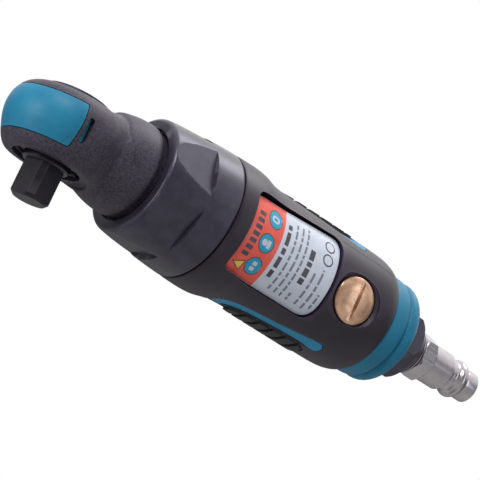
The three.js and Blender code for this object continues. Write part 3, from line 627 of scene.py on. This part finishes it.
BARREL_FOOT, FOOT_RADIUS = -10.8, 12.6
BARREL_TOP = 8.4
BARREL_SIDE = smooth_path([(-9.9, 13.6), (-8.2, 14.7), (-5.6, 15.8), (-2.8, 16.7), (0.2, 17.1),
                           (3.2, 16.7), (5.6, 15.65), (7.1, 14.45), (8.2, 12.8),
                           (BARREL_TOP, 12.0)])
NECK_SIDE = smooth_path([(3, 9.8), (9, 10.4), (12.4, 11.3), (13.4, 12.6), (15.5, 13.3), (19, 14.0),
                         (22.6, 14.2), (24.2, 13.9), (24.9, 13.3)])
FLANGE_FRONT, FLANGE_RADIUS = 27.6, 15.6
FLANGE_REAR = span("head_housing", "X")[1]
WEB_RINGS = [(-9.5, 13.8), (-5.6, 15.75), (0.2, 17.05), (5.6, 15.65), (7.2, 14.5)]
COVER_LOW, COVER_HIGH = span("head_cover", "Z", AXIS)
COVER_INNER = 14.3                 # the inner radius of the cover's band
COVER_REAR, COVER_CORNER = -3.8, 0.6      # where the band ends, and its rounded corners
COVER_GAP = 0.25                   # between the band and the casting
BEYOND = 20.0                      # farther from the drive's axis than any part of the barrel


def barrel():
    return turned([(BARREL_FOOT, 0), (BARREL_FOOT, FOOT_RADIUS), *BARREL_SIDE,
                   (BARREL_TOP, 0)], "Z")


def cover_space(clearance):
    """The room the cover takes: a band round the front with rounded rear corners."""
    inner = COVER_INNER - clearance
    low, high = COVER_LOW - clearance, COVER_HIGH + clearance
    shell = turned([(low - 1, inner), (low - 1, BEYOND), (high + 1, BEYOND), (high + 1, inner),
                    (low - 1, inner)], "Z")
    corner = COVER_CORNER + clearance
    rear = COVER_REAR + clearance - corner
    window = [(-BEYOND, AXIS + low), *arc_points(rear, AXIS + low + corner, corner, -90, 0, 8),
              *arc_points(rear, AXIS + high - corner, corner, 0, 90, 8), (-BEYOND, AXIS + high)]
    return common(shell, prism(window, "Y", -BEYOND, BEYOND))


def neck_web():
    """The web that leads the barrel's sides into the neck without a crease."""
    work = bmesh.new()
    for z, radius in WEB_RINGS:
        for x, y in arc_points(0, 0, radius, -81, 81, 24):
            work.verts.new((x, y, AXIS + z))
    for y, z in circle(0, AXIS - 0.4, 12.2, 64):
        work.verts.new((13.5, y, z))
    hull = bmesh.ops.convex_hull(work, input=work.verts)
    spare = [item for item in hull["geom_interior"] if isinstance(item, bmesh.types.BMVert)]
    bmesh.ops.delete(work, geom=spare, context="VERTS")
    verts = [vert.co.copy() for vert in work.verts]
    work.verts.index_update()
    faces = [[vert.index for vert in face.verts] for face in work.faces]
    work.free()
    return build("web", verts, faces)


def soft_casting(thing):
    """Blends the joins of a rough casting, as a mould's fillets do."""
    remesh = thing.modifiers.new("skin", "REMESH")
    remesh.mode = "VOXEL"
    remesh.voxel_size = 0.36 * MM
    soften = thing.modifiers.new("soften", "SMOOTH")
    soften.factor = 0.5
    soften.iterations = 6
    return applied(thing)


def tongue_slot(side):
    """A rounded upright slot behind the cover's end, which its tongue reaches into."""
    middle, half, low, high = -1.6, 0.85, AXIS - 5.0, AXIS + 2.4
    outline = [*arc_points(middle, high - half, half, 0, 180, 12),
               *arc_points(middle, low + half, half, 180, 360, 12)]
    return prism(outline, "Y", *sorted((side * 14.0, side * BEYOND)))


def head_housing():
    neck = turned([(3, 0), *NECK_SIDE, (FLANGE_FRONT, 13.3), (FLANGE_FRONT, FLANGE_RADIUS),
                   (FLANGE_REAR, FLANGE_RADIUS), (FLANGE_REAR, 0)])
    casting = join(barrel(), neck, neck_web())
    knob_room = disk("Z", BARREL_TOP, 16, 11.2)
    foot_trim = disk("Z", -16, BARREL_FOOT, FOOT_RADIUS)
    cut(casting, knob_room, foot_trim)
    soft_casting(casting)
    yoke_bore = disk("Z", -12, 5.8, 10.1)
    ring_groove = disk("Z", -9.9, -8.9, 10.95)
    knob_opening = disk("Z", 4.8, 12, 6.8)
    crank_bore = disk("X", 4, 32, 8.8)
    carrier_seat = disk("X", 27.9, 32, 11.4)
    slots = [tongue_slot(side) for side in (-1, 1)]
    return cut(casting, cover_space(COVER_GAP), yoke_bore, ring_groove, knob_opening, crank_bore,
               carrier_seat, *slots)


def head_cover():
    """A slice of the barrel's own skin, with a locking tongue at each rear end."""
    cover = round_edges(common(barrel(), cover_space(0.0)), 0.22, segments=3)
    tongues = [box(-4.3, -1.05, *sorted((side * 14.45, side * 15.3)), AXIS - 4.6, AXIS + 2.2)
               for side in (-1, 1)]
    return join(cover, *tongues)


def rounded_bar(reach, half):
    """A bar along X with round ends."""
    return [*arc_points(reach - half, 0, half, -90, 90, 12),
            *arc_points(half - reach, 0, half, 90, 270, 12)]


def reversing_knob():
    rim = smooth_path([(9.4, 9.5), (9.65, 9.35), (9.75, 8.7)], 4)
    knob = turned([(8.7, 0), (8.7, 9.5), *rim, (9.75, 0)], "Z")
    hub = disk("Z", 6.0, 9, 6.5, sides=64)
    stem = disk("Z", -3.0, 8, 1.9, sides=32)
    grip = prism(rounded_bar(6.2, 1.6), "Z", AXIS + 9.2, AXIS + 10.2)
    join(knob, hub, stem, grip)
    ball_bore = disk("Y", -0.9, 3, 0.95, sides=24)
    cut(knob, ball_bore)
    return turn_about_drive(knob, SQUARE_TURN + SELECTOR_TURN)


def drive_anvil():
    half = SQUARE / 2
    corner = half - 1.6
    outline = [(half, -corner), (half, corner), (corner, half), (-corner, half), (-half, corner),
               (-half, -corner), (-corner, -half), (corner, -half)]
    square = prism(outline, "Z", 0, 14)
    bevelled = turned([(0, 0), (0, 4.7), (1.3, 5.95), (14, 5.95), (14, 0)], "Z", FINE, (0, 0, 0))
    common(square, bevelled)
    journals = turned([(-11.6, 0), (-11.6, 6.4), (-11.1, 6.9), (-8.0, 6.9), (-8.0, 8.2),
                       (-6.2, 8.2), (-6.2, 7.6), (5.4, 7.6), (5.4, 0)], "Z")
    join(square, journals)
    pawl_pocket = box(-5.6, 5.6, 2.6, 9, AXIS - 3.3, AXIS + 3.3)
    stem_bore = disk("Z", -3.4, 6, 2.2, sides=32)
    ball_window = box(-2.3, 2.3, 0, 3, AXIS - 1.2, AXIS + 1.2)
    pawl_pin_bore = disk("Z", -5, 6, 1.05, (0, 5.0, AXIS), 24)
    detent_bore = disk("X", 1.6, 6, 1.35, (0, 0, AXIS - 16.6), 32)
    cut(square, pawl_pocket, stem_bore, ball_window, pawl_pin_bore, detent_bore)
    return turn_about_drive(square, SQUARE_TURN)


finish(head_housing(), "head_casting", "housing", "cast_steel", ["head_housing"], edge=0)
finish(head_cover(), "head_cover_shell", "housing", "teal_trim", ["head_cover"], edge=0)
finish(reversing_knob(), "reversing_knob_cap", "knob", "black_composite", ["reversing_knob"])
finish(drive_anvil(), "square_drive", "anvil", "black_steel", ["drive_anvil"], edge=0.25,
       paint=DRIVE)


# ---------------------------------------------------------------- clamp sleeve

SLEEVE_FRONT, SLEEVE_REAR = span("clamp_sleeve", "X")


def hexagon(flat, first):
    """Six corners about the tool's axis. Flat is half the size across flats."""
    return circle(0, AXIS, flat / math.cos(math.pi / 6), 6, first)


def clamp_sleeve():
    """A turned sleeve with six flats on its front half."""
    skin = smooth_path([(26.1, 17.5), (27.2, 17.9), (33.0, 18.6), (39.0, 19.2), (44, 19.6),
                        (48.9, 19.85)])
    sleeve = turned([(SLEEVE_FRONT, 14.5), (SLEEVE_FRONT, 16.5), (25.75, 17.1), *skin,
                     (SLEEVE_REAR, 19.6), (SLEEVE_REAR, 16.0), (27.3, 16.0), (27.3, 14.5),
                     (SLEEVE_FRONT, 14.5)], sides=FINEST)
    flats = prism(hexagon(17.7, 2), "X", 24, 40)
    plain_rear = disk("X", 40, 52, 23)
    return common(sleeve, join(flats, plain_rear))


finish(clamp_sleeve(), "sleeve", "housing", "black_steel", ["clamp_sleeve"], edge=0.35, segments=3)


# ---------------------------------------------------------------- grip
# Runs hold (x, radius) along the tool. Outlines of the stripes and pads hold (x, y).

HOUSING_FRONT, HOUSING_REAR = span("body_housing", "X")
SKIN = smooth_path([(50.0, 19.75), (51, 19.95), (54, 20.05), (57.5, 20.05), (60.5, 19.75),
                    (63.5, 19.0), (66.5, 18.55), (70, 18.42), (76, 18.4), (98, 18.4), (104, 18.4),
                    (108.5, 18.25), (111, 17.9), (112.9, 17.3), (114.0, 16.6), (114.2, 16.3)])
STRIPE_OUTER = [(64.4, 0), (64.7, 2.4), (66.2, 4.6), (69.0, 6.0), (74.0, 7.1), (84.0, 8.3),
                (98.6, 10.2)]
STRIPE_INNER = [(98.8, 6.6), (86.0, 5.7), (76.0, 4.5), (72.0, 3.2), (69.8, 1.6), (69.2, 0)]
STRIPE_TOP = smooth_path([(60, 18.3), (63, 18.3), (67, 18.05), (71, 17.9), (92, 17.9), (98, 18.35),
                          (103, 18.45)])
STRIPE_BASE = 17.3
INSERT_EDGE = [(69.5, 0), (70.1, 1.4), (72.2, 2.9), (76.0, 4.2), (86.0, 5.4), (93.5, 5.9)]
INSERT_END = span("grip_insert_top", "X")[1]
INSERT_GAP = 0.28                  # round the stripes and the pads, in their recesses
RIBS, RIB_START, RIB_PITCH, RIB_HALF = 6, 72.9, 4.75, 1.6
PLATE_RUN = smooth_path([(52, 18.6), (58, 18.45), (62, 18.0), (66, 17.5), (70, 17.35),
                         (105, 17.35)])
PLATE_FRONT, PLATE_REAR = span("name_plate", "X")
PLATE_CORNERS = [(PLATE_FRONT, -12.3, 2.2), (PLATE_REAR, -12.1, 4.4), (PLATE_REAR, 12.7, 3.6),
                 (PLATE_FRONT, 10.4, 2.2)]        # x, height above the axis, radius


def radius_at(x, run):
    """A run's radius at a station along the tool."""
    for (x0, r0), (x1, r1) in zip(run, run[1:]):
        if x0 <= x <= x1:
            return r0 + (r1 - r0) * (x - x0) / max(x1 - x0, 1e-9)
    return run[0][1] if x < run[0][0] else run[-1][1]


def skin_layer(shallow, deep, x0=52.0, x1=105.0, skin=SKIN):
    """A layer of the housing's skin or of another run, between two depths below its surface."""
    run = [(x, r) for x, r in skin if x0 < x < x1]
    outer = [(x, r - shallow) for x, r in run]
    inner = [(x, r - deep) for x, r in reversed(run)]
    return turned([*outer, *inner, outer[0]], sides=FINEST)


def mirrored(points):
    return [(x, -y) for x, y in reversed(points)]


def stripe_outline(grow=0.0):
    """Two arms that join at the front, with round ends at the rear."""
    outer = smooth_path([(x - grow, y + grow if y else 0) for x, y in STRIPE_OUTER], 5)
    inner = smooth_path([(x + grow, y - grow if y else 0) for x, y in STRIPE_INNER], 5)
    rear_end = arc_points(98.9, 8.4, 1.8 + grow, 90, -90, 16)[1:-1]
    half = outer + rear_end + inner
    return half + mirrored(half)[1:-1]


def insert_outline(grow=0.0):
    """The pad between the arms: nearly straight sides that close in a rounded rear end."""
    edge = smooth_path([(x - grow, y + grow if y else 0) for x, y in INSERT_EDGE], 5)
    x, y = edge[-1]
    end = INSERT_END + grow
    for i in range(1, 13):
        t = i / 12
        edge.append(((1 - t) ** 2 * x + (1 - (1 - t) ** 2) * end, y * (1 - t * t)))
    return edge + mirrored(edge)[1:-1]


def pad_heights(side):
    """The heights that hold one side's pad: side is 1 on top and -1 below."""
    return sorted((AXIS + side * 8, AXIS + side * 25))


def pad_space(side, outline):
    return prism(outline, "Z", *pad_heights(side))


def grip_frame(side):
    layer = turned([*STRIPE_TOP, (STRIPE_TOP[-1][0], STRIPE_BASE), (STRIPE_TOP[0][0], STRIPE_BASE),
                    STRIPE_TOP[0]], sides=FINEST)
    return common(layer, pad_space(side, stripe_outline()))


def grip_insert(side):
    """A pad a little below the housing's skin, with round ribs across it that stand proud."""
    base = common(skin_layer(0.3, 1.1), pad_space(side, insert_outline()))
    ribs = []
    for i in range(RIBS):
        x = RIB_START + RIB_PITCH * i
        rib = common(skin_layer(-0.4, 0.8), pad_space(side, insert_outline(-0.4)),
                     box(x - RIB_HALF, x + RIB_HALF, -12, 12, *pad_heights(side)))
        ribs.append(round_edges(rib, 0.3, segments=3))
    return join(base, *ribs)


def plate_outline(grow=0.0, lean=0.0, steps=10):
    """The name plate in (x, z), with rounded corners. Lean raises its upper front corner."""
    corners = []
    for x, z, radius in PLATE_CORNERS:
        rearward = 1 if x == PLATE_REAR else -1
        upward = 1 if z > 0 else -1
        corners.append((Vector((x + rearward * grow, z + upward * grow)), radius + grow))
    corners[3][0].y += lean
    points = []
    for i, (corner, radius) in enumerate(corners):
        start = corner + (corners[i - 1][0] - corner).normalized() * radius
        end = corner + (corners[(i + 1) % 4][0] - corner).normalized() * radius
        for k in range(steps + 1):
            t = k / steps
            spot = (1 - t) ** 2 * start + 2 * t * (1 - t) * corner + t * t * end
            points.append((spot.x, AXIS + spot.y))
    return points


def plate_space(grow=0.0, lean=0.0):
    return prism(plate_outline(grow, lean), "Y", -24, -8)


def name_plate():
    return common(skin_layer(0, 0.3, skin=PLATE_RUN), plate_space())


def parting_line():
    """The fine line where the two halves of the housing's mould met."""
    groove = turn_about_tool(box(89.6, 113.4, -19.4, -16.0, -0.1, 0.1), -46)
    return common(groove, skin_layer(-0.5, 0.25, 80, 114))


def lug(low, high):
    """An ear for the lever's pin, between two heights above the axis."""
    eye = arc_points(LEVER_X, LEVER_Y, 2.6, 180, 0, 16)
    outline = [(LEVER_X - 4.5, 15.0), *eye, (LEVER_X + 3.2, 15.0)]
    return prism(outline, "Z", AXIS + low, AXIS + high)


def lever_bore():
    return disk("Z", -8, 8, 1.15, (LEVER_X, LEVER_Y, AXIS), 32)


def body_housing():
    body = turned([(HOUSING_FRONT, 0), (HOUSING_FRONT, 15.7), (49.8, 15.7), (49.8, 19.4), *SKIN,
                   (114.2, 11.6), (HOUSING_REAR, 11.6), (HOUSING_REAR, 0)], sides=FINEST)
    lever_flat = box(60, 111, 19.0, 24, AXIS - 8, AXIS + 8)
    cut(body, lever_flat)
    join(body, lug(4.3, 6.3), lug(-6.3, -4.3))
    motor = disk("X", 40.8, 92, 14.2)
    plug_head = disk("Y", -24, -15.9, 7.5, VALVE)
    plug_thread = disk("Y", -17, -8, 5.75, VALVE)
    plug_rim = turned([(-24, 0), (-24, 8.4), (-17.6, 8.4), (-16.9, 7.5), (-16.9, 0)], "Y", FINE,
                      VALVE)
    spring_room = disk("Y", -9, 5.2, 5.0, VALVE, 48)
    seat = disk("Y", 5, 9, 3.2, VALVE, 32)
    stem = disk("Y", 8, 24, 1.75, VALVE, 32)
    stem_seal = disk("Y", 15.4, 24, 3.0, VALVE, 48)
    motor_feed = disk("X", 91, VALVE[0], 1.5, (0, 7, AXIS), 24)
    inlet_feed = disk("X", VALVE[0], 110, 3.4, (0, -1.5, AXIS), 32)
    bush = disk("X", 108.6, 126, 8.3)
    vents = [disk("X", 91, 115, 1.7, (0, 0, AXIS + height), 24) for height in (12.3, -12.3)]
    cut(body, motor, plug_head, plug_thread, plug_rim, spring_room, seat, stem, stem_seal,
        motor_feed, inlet_feed, bush, *vents, lever_bore())
    for side in (-1, 1):
        for outline in (stripe_outline, insert_outline):
            cut(body, common(skin_layer(-3, 1.4), pad_space(side, outline(INSERT_GAP))))
    cut(body, common(skin_layer(-4, 0.6, skin=PLATE_RUN), plate_space(0.6, 0.8)))
    return cut(body, parting_line())


finish(body_housing(), "grip_housing", "housing", "black_composite", ["body_housing"], edge=0.25)
finish(name_plate(), "name_plate_film", "housing", "plate", ["name_plate"], edge=0.06)
for place, side in (("top", 1), ("bottom", -1)):
    # The stripes get the brighter copy of the teal, which paints light onto their recessed faces.
    finish(grip_frame(side), f"grip_pad_frame_{place}", "housing", "teal_trim",
           [f"grip_frame_{place}"], edge=0.3, segments=3, paint=TEAL_WITH_PAINTED_LIGHT)
    finish(grip_insert(side), f"grip_pad_ribs_{place}", "housing", "black_rubber",
           [f"grip_insert_{place}"], edge=0.25)


# ---------------------------------------------------------------- plate print
# Outlines are flat, in (x, arc). The arc runs from -Y towards +Z on the print's radius.

PRINT_RADIUS = 17.6
INK_THICK = 0.02
LAYERS = [0.03, 0.045, 0.06, 0.075]       # how high each layer of print lies above the plate
MESH_STEP = 0.6                    # about as long as a flat stretch of a wrapped outline gets
DISCS = [(63.75, 21.8), (63.25, -3.0), (63.55, -26.6)]            # x and degrees
TRIANGLE_MIDDLE = (59.05, -31.1)
TRIANGLE_CORNERS = [(56.5, -31.1), (60.4, -25.0), (60.3, -37.2)]
ROWS = [                           # x, half height, from and to in degrees, word, space, ink
    (69.7, 0.7, -27.9, 27.0, 3.4, 0.9, INK),
    (72.4, 0.35, -37.6, 35.0, 2.2, 0.6, SOFT_INK),
    (74.6, 0.35, -37.6, 33.0, 2.6, 0.6, SOFT_INK),
    (76.7, 0.35, -37.6, 36.0, 1.9, 0.5, SOFT_INK),
    (79.4, 0.9, -18.0, 19.5, 2.6, 0.6, INK),
    (79.1, 0.4, -37.4, -29.0, 1.3, 0.4, SOFT_INK),
    (82.4, 0.38, -36.6, -1.5, 2.6, 0.6, SOFT_INK),
    (84.9, 0.38, -37.2, 5.6, 3.0, 0.6, SOFT_INK),
    (87.1, 0.35, -33.0, -16.8, 2.0, 0.5, SOFT_INK),
]
WORD_LENGTHS = (0.7, 1.0, 0.55, 1.2)


def at(x, degrees):
    return x, PRINT_RADIUS * math.radians(degrees)


def divide(work, outline):
    """Cuts a flat outline into stretches short enough to bend."""
    for axis, way in enumerate(((1, 0, 0), (0, 1, 0))):
        values = [point[axis] for point in outline]
        low, high = min(values), max(values)
        count = max(1, int((high - low) / MESH_STEP))
        for i in range(1, count):
            place = low + (high - low) * i / count
            bmesh.ops.bisect_plane(work, geom=work.verts[:] + work.edges[:] + work.faces[:],
                                   plane_co=[place * v for v in way], plane_no=way)


def wrapped(name, outline, paint, layer=0):
    """Lays an outline on the name plate as a thin film."""
    work = bmesh.new()
    for x, arc in outline:
        work.verts.new((x, arc, 0))
    work.faces.new(work.verts)
    divide(work, outline)
    bmesh.ops.triangulate(work, faces=work.faces)
    made = bmesh.ops.extrude_face_region(work, geom=work.faces[:])
    for vert in [item for item in made["geom"] if isinstance(item, bmesh.types.BMVert)]:
        vert.co.z = INK_THICK
    for vert in work.verts:
        x, arc, height = vert.co
        radius = radius_at(x, PLATE_RUN) + LAYERS[layer] - INK_THICK + height
        angle = arc / PRINT_RADIUS
        y, z = -radius * math.cos(angle), AXIS + radius * math.sin(angle)
        vert.co = Vector((x, y, z)) * MM
    bmesh.ops.recalc_face_normals(work, faces=work.faces)
    mesh = bpy.data.meshes.new(name)
    work.to_mesh(mesh)
    work.free()
    thing = bpy.data.objects.new(name, mesh)
    scene.collection.objects.link(thing)
    finish(thing, name, "housing", "plate", edge=0, paint=paint)


def rounded_box(x0, x1, a0, a1, front, rear, steps=6):
    """A rectangle in (x, arc) with one corner radius in front and another behind."""
    return [*arc_points(x1 - rear, a0 + rear, rear, -90, 0, steps),
            *arc_points(x1 - rear, a1 - rear, rear, 0, 90, steps),
            *arc_points(x0 + front, a1 - front, front, 90, 180, steps),
            *arc_points(x0 + front, a0 + front, front, 180, 270, steps)]


def block(x, arc, half, reach, corner, steps=6):
    """A rounded rectangle about its centre."""
    return rounded_box(x - half, x + half, arc - reach, arc + reach, corner, corner, steps)


def print_band():
    band = common(skin_layer(-0.02, 0.01, skin=PLATE_RUN), plate_space(-0.12),
                  box(50, 67.7, -24, -8, 0, 2 * AXIS))
    finish(band, "plate_red_band", "housing", "plate", edge=0, paint=RED)


def print_discs():
    """Three teal discs, each with a plain mark of its own."""
    for i, place in enumerate(DISCS):
        wrapped(f"plate_disc_{i + 1}_edge", circle(*at(*place), 2.85), INK)
        wrapped(f"plate_disc_{i + 1}", circle(*at(*place), 2.55), BLUE, 1)
    x, arc = at(*DISCS[0])
    wrapped("plate_mark_1", block(x, arc, 1.5, 1.0, 0.9), PLATE, 2)
    wrapped("plate_mark_1_inside", block(x, arc, 0.8, 0.5, 0.4), BLUE, 3)
    x, arc = at(*DISCS[1])
    wrapped("plate_mark_2", circle(x - 0.7, arc, 0.95), PLATE, 2)
    bar = rounded_box(x + 0.3, x + 1.6, arc - 1.2, arc + 1.2, 0.2, 0.4)
    wrapped("plate_mark_2_bar", bar, PLATE, 2)
    x, arc = at(*DISCS[2])
    for i, way in enumerate((-0.85, 0.85)):
        wrapped(f"plate_mark_3_{i + 1}", block(x, arc + way, 0.8, 0.6, 0.2), PLATE, 2)


def print_triangle():
    middle = Vector(at(*TRIANGLE_MIDDLE))
    corners = [Vector(at(*corner)) for corner in TRIANGLE_CORNERS]
    for name, size, paint, layer in (("plate_mark_edge", 1.0, INK, 0),
                                     ("plate_mark", 0.74, YELLOW, 1)):
        outline = [tuple(middle + (corner - middle) * size) for corner in corners]
        wrapped(name, outline, paint, layer)


def print_blocks():
    """Short bars in the red band, in front of the discs."""
    for i in range(7):
        x, arc = at(58.5, -20.0 + 6.5 * i)
        wrapped(f"plate_block_{i + 1}", block(x, arc, 1.2, 0.62, 0.15, 2), INK)


def print_rows():
    """Rows of word-length bars across the plate."""
    for i, (x, half, low, high, word, space, ink) in enumerate(ROWS):
        (_, start), (_, end) = at(x, low), at(x, high)
        count = 0
        while start < end - 0.3:
            stop = min(start + word * WORD_LENGTHS[count % len(WORD_LENGTHS)], end)
            bar = rounded_box(x - half, x + half, start, stop, 0.08, 0.08, 2)
            count += 1
            wrapped(f"plate_row_{i + 1}_{count}", bar, ink)
            start = stop + space


def print_rings():
    for i, degrees in enumerate((16.6, 31.0)):
        wrapped(f"plate_ring_{i + 1}", circle(*at(85.1, degrees), 1.9), INK)
        wrapped(f"plate_ring_{i + 1}_inside", circle(*at(85.1, degrees), 1.45), PLATE, 1)


print_band()
print_discs()
print_triangle()
print_blocks()
print_rows()
print_rings()


# ---------------------------------------------------------------- valve and lever

EAR_HALF = 4.0                     # half the width of the lever's end, between the lugs


def valve_plug():
    """A domed plug with a screwdriver slot, hollow behind for the spring."""
    dome = smooth_path([(-18.7, 0.0), (-18.6, 2.2), (-18.35, 4.2), (-17.95, 5.7), (-17.4, 6.7)])
    plug = turned([*dome, (-17.1, 6.9), (-16.6, 6.9), (-16.6, 5.5), (-11.4, 5.5), (-11.4, 3.6),
                   (-13.4, 3.6), (-13.4, 0)], "Y", FINE, VALVE)
    slot = box(VALVE[0] - 0.65, VALVE[0] + 0.65, -20, -17.7, AXIS - 9, AXIS + 8)
    return cut(plug, slot)


def throttle_lever():
    upper = smooth_path([(LEVER_X + 2.0, LEVER_Y + 0.6), (LEVER_X + 0.6, LEVER_Y + 2.1),
                         (LEVER_X - 2.0, LEVER_Y + 2.6), (90, 25.3), (74, 27.6), (65, 28.4),
                         (62.6, 28.1)], 6)
    lower = smooth_path([(62.0, 27.3), (63.0, 26.6), (74, 25.8), (90, 23.5), (100.5, 21.5)], 6)
    side = [(LEVER_X + 1.6, LEVER_Y - 1.4), *upper, *lower, (104.6, 21.5), (105.6, 20.9),
            (LEVER_X - 1.4, LEVER_Y - 1.5)]
    blade = prism(side, "Z", *span("throttle_lever", "Z"))
    beside_ear = [box(104, 113, 12, 26, AXIS + low, AXIS + high)
                  for low, high in ((EAR_HALF, 8), (-8, -EAR_HALF))]
    return cut(blade, *beside_ear, lever_bore())


def lever_pin():
    """A pin with a low rivet head outside each lug."""
    end = [(6.33, 0.95), (6.33, 1.75), (6.4, 1.75), (6.75, 1.3), (6.75, 0)]
    other_end = [(-height, radius) for height, radius in reversed(end)]
    return turned([*other_end, *end], "Z", 48, (LEVER_X, LEVER_Y, AXIS))


finish(valve_plug(), "valve_plug_head", "housing", "brass", ["valve_plug"], edge=0.15)
finish(throttle_lever(), "throttle_lever_blade", "lever", "black_composite", ["throttle_lever"],
       edge=0.5, segments=3)
finish(lever_pin(), "lever_pin_rivet", "housing", "steel", ["lever_pin"], edge=0.1)


# ---------------------------------------------------------------- exhaust and inlet

RING_FRONT, RING_REAR = span("exhaust_ring", "X")
SPIGOT_FRONT, CONE_REAR = span("inlet_bush", "X")
BUSH_FRONT, BUSH_REAR = 125.2, 132.1
PLUG_FRONT, PLUG_REAR = span("air_plug", "X")
PLUG_BORE = 3.1
PLUG_HEX_FRONT, PLUG_HEX_REAR = 136.5, 141.2


def exhaust_ring():
    """A collar and a rear bead, with four ribs across the exhaust gap."""
    outside = smooth_path([(RING_FRONT, 15.8), (114.8, 16.0), (116.6, 16.05), (119.0, 15.95),
                           (120.0, 15.55), (120.7, 14.85)])
    bead = smooth_path([(120.7, 14.85), (121.2, 15.35), (122.2, 15.8), (123.5, 15.6),
                        (124.7, 14.85), (RING_REAR, 13.8)], 5)
    ring = turned([(RING_FRONT, 15.0), *outside, *bead[1:], (RING_REAR, 12.6), (123.6, 12.6),
                   (120.4, 13.2), (116.5, 14.8), (RING_FRONT, 15.0)])
    ribs = [turn_about_tool(box(120.6, 123.4, 11.85, 14.2, -1, 1), 45 + 90 * i) for i in range(4)]
    return join(ring, *ribs)


def inlet_bush():
    """A bevelled hexagon with a short cone behind and a spigot into the housing."""
    bush = prism(hexagon(10.1, 17), "X", BUSH_FRONT, BUSH_REAR)
    bevelled = turned([(BUSH_FRONT, 0), (BUSH_FRONT, 11.3), (125.6, 11.65), (129.8, 11.65),
                       (131.4, 10.7), (BUSH_REAR, 10.0), (BUSH_REAR, 0)])
    common(bush, bevelled)
    cone = turned([(131.9, 0), (131.9, 9.9), (CONE_REAR, 7.8), (CONE_REAR, 0)])
    spigot = disk("X", SPIGOT_FRONT, 126, 8.1)
    join(bush, cone, spigot)
    screen_bore = disk("X", 109, 121.5, 6.2, sides=64)
    plug_bore = disk("X", 120, 136, 5.0, sides=64)
    return cut(bush, screen_bore, plug_bore)


def air_plug():
    """A quick-connect plug: spigot, flange, hexagon, barrel, groove, collar and nose."""
    nose = smooth_path([(149.5, 5.98), (150.4, 4.95), (151.5, 4.85), (152.8, 4.95), (153.9, 5.85),
                        (155.2, 5.95), (156.2, 5.3), (156.9, 4.6)], 5)
    plug = turned([(PLUG_FRONT, PLUG_BORE), (PLUG_FRONT, 4.5), (123, 4.75), (134.9, 4.75),
                   (134.9, 7.0), (135.1, 7.5), (135.5, 7.4), (135.9, 6.6), (135.9, 5.4),
                   (PLUG_HEX_FRONT, 5.4), (PLUG_HEX_FRONT, 5.9), (PLUG_HEX_REAR, 5.9),
                   (141.5, 5.75), (141.9, 6.0), *nose, (157.6, 4.85), (160.9, 4.85),
                   (PLUG_REAR, 4.4), (PLUG_REAR, PLUG_BORE), (PLUG_FRONT, PLUG_BORE)])
    hexed = prism(hexagon(6.5, 24.5), "X", PLUG_HEX_FRONT, PLUG_HEX_REAR)
    bevelled = turned([(PLUG_HEX_FRONT, 0), (PLUG_HEX_FRONT, 6.6), (137.2, 7.5), (140.5, 7.5),
                       (PLUG_HEX_REAR, 6.7), (PLUG_HEX_REAR, 0)])
    common(hexed, bevelled)
    cut(hexed, disk("X", 134, 142, PLUG_BORE))
    return join(plug, hexed)


finish(exhaust_ring(), "exhaust_collar", "housing", "teal_trim", ["exhaust_ring"], edge=0.15)
finish(inlet_bush(), "inlet_hexagon", "housing", "black_steel", ["inlet_bush"], edge=0.25)
finish(air_plug(), "quick_plug", "housing", "nickel", ["air_plug"], edge=0.15)


# ---------------------------------------------------------------- carried-over pieces

def dress_cad():
    """Gives every CAD piece the material of its slot in the record."""
    slots = {entry["node"]: entry["material_slot"] for entry in frame["record"]["subparts"]}
    for name, thing in frame["nodes"].items():
        thing.data.materials.clear()
        thing.data.materials.append(SLOTS[slots[name]])


dress_cad()
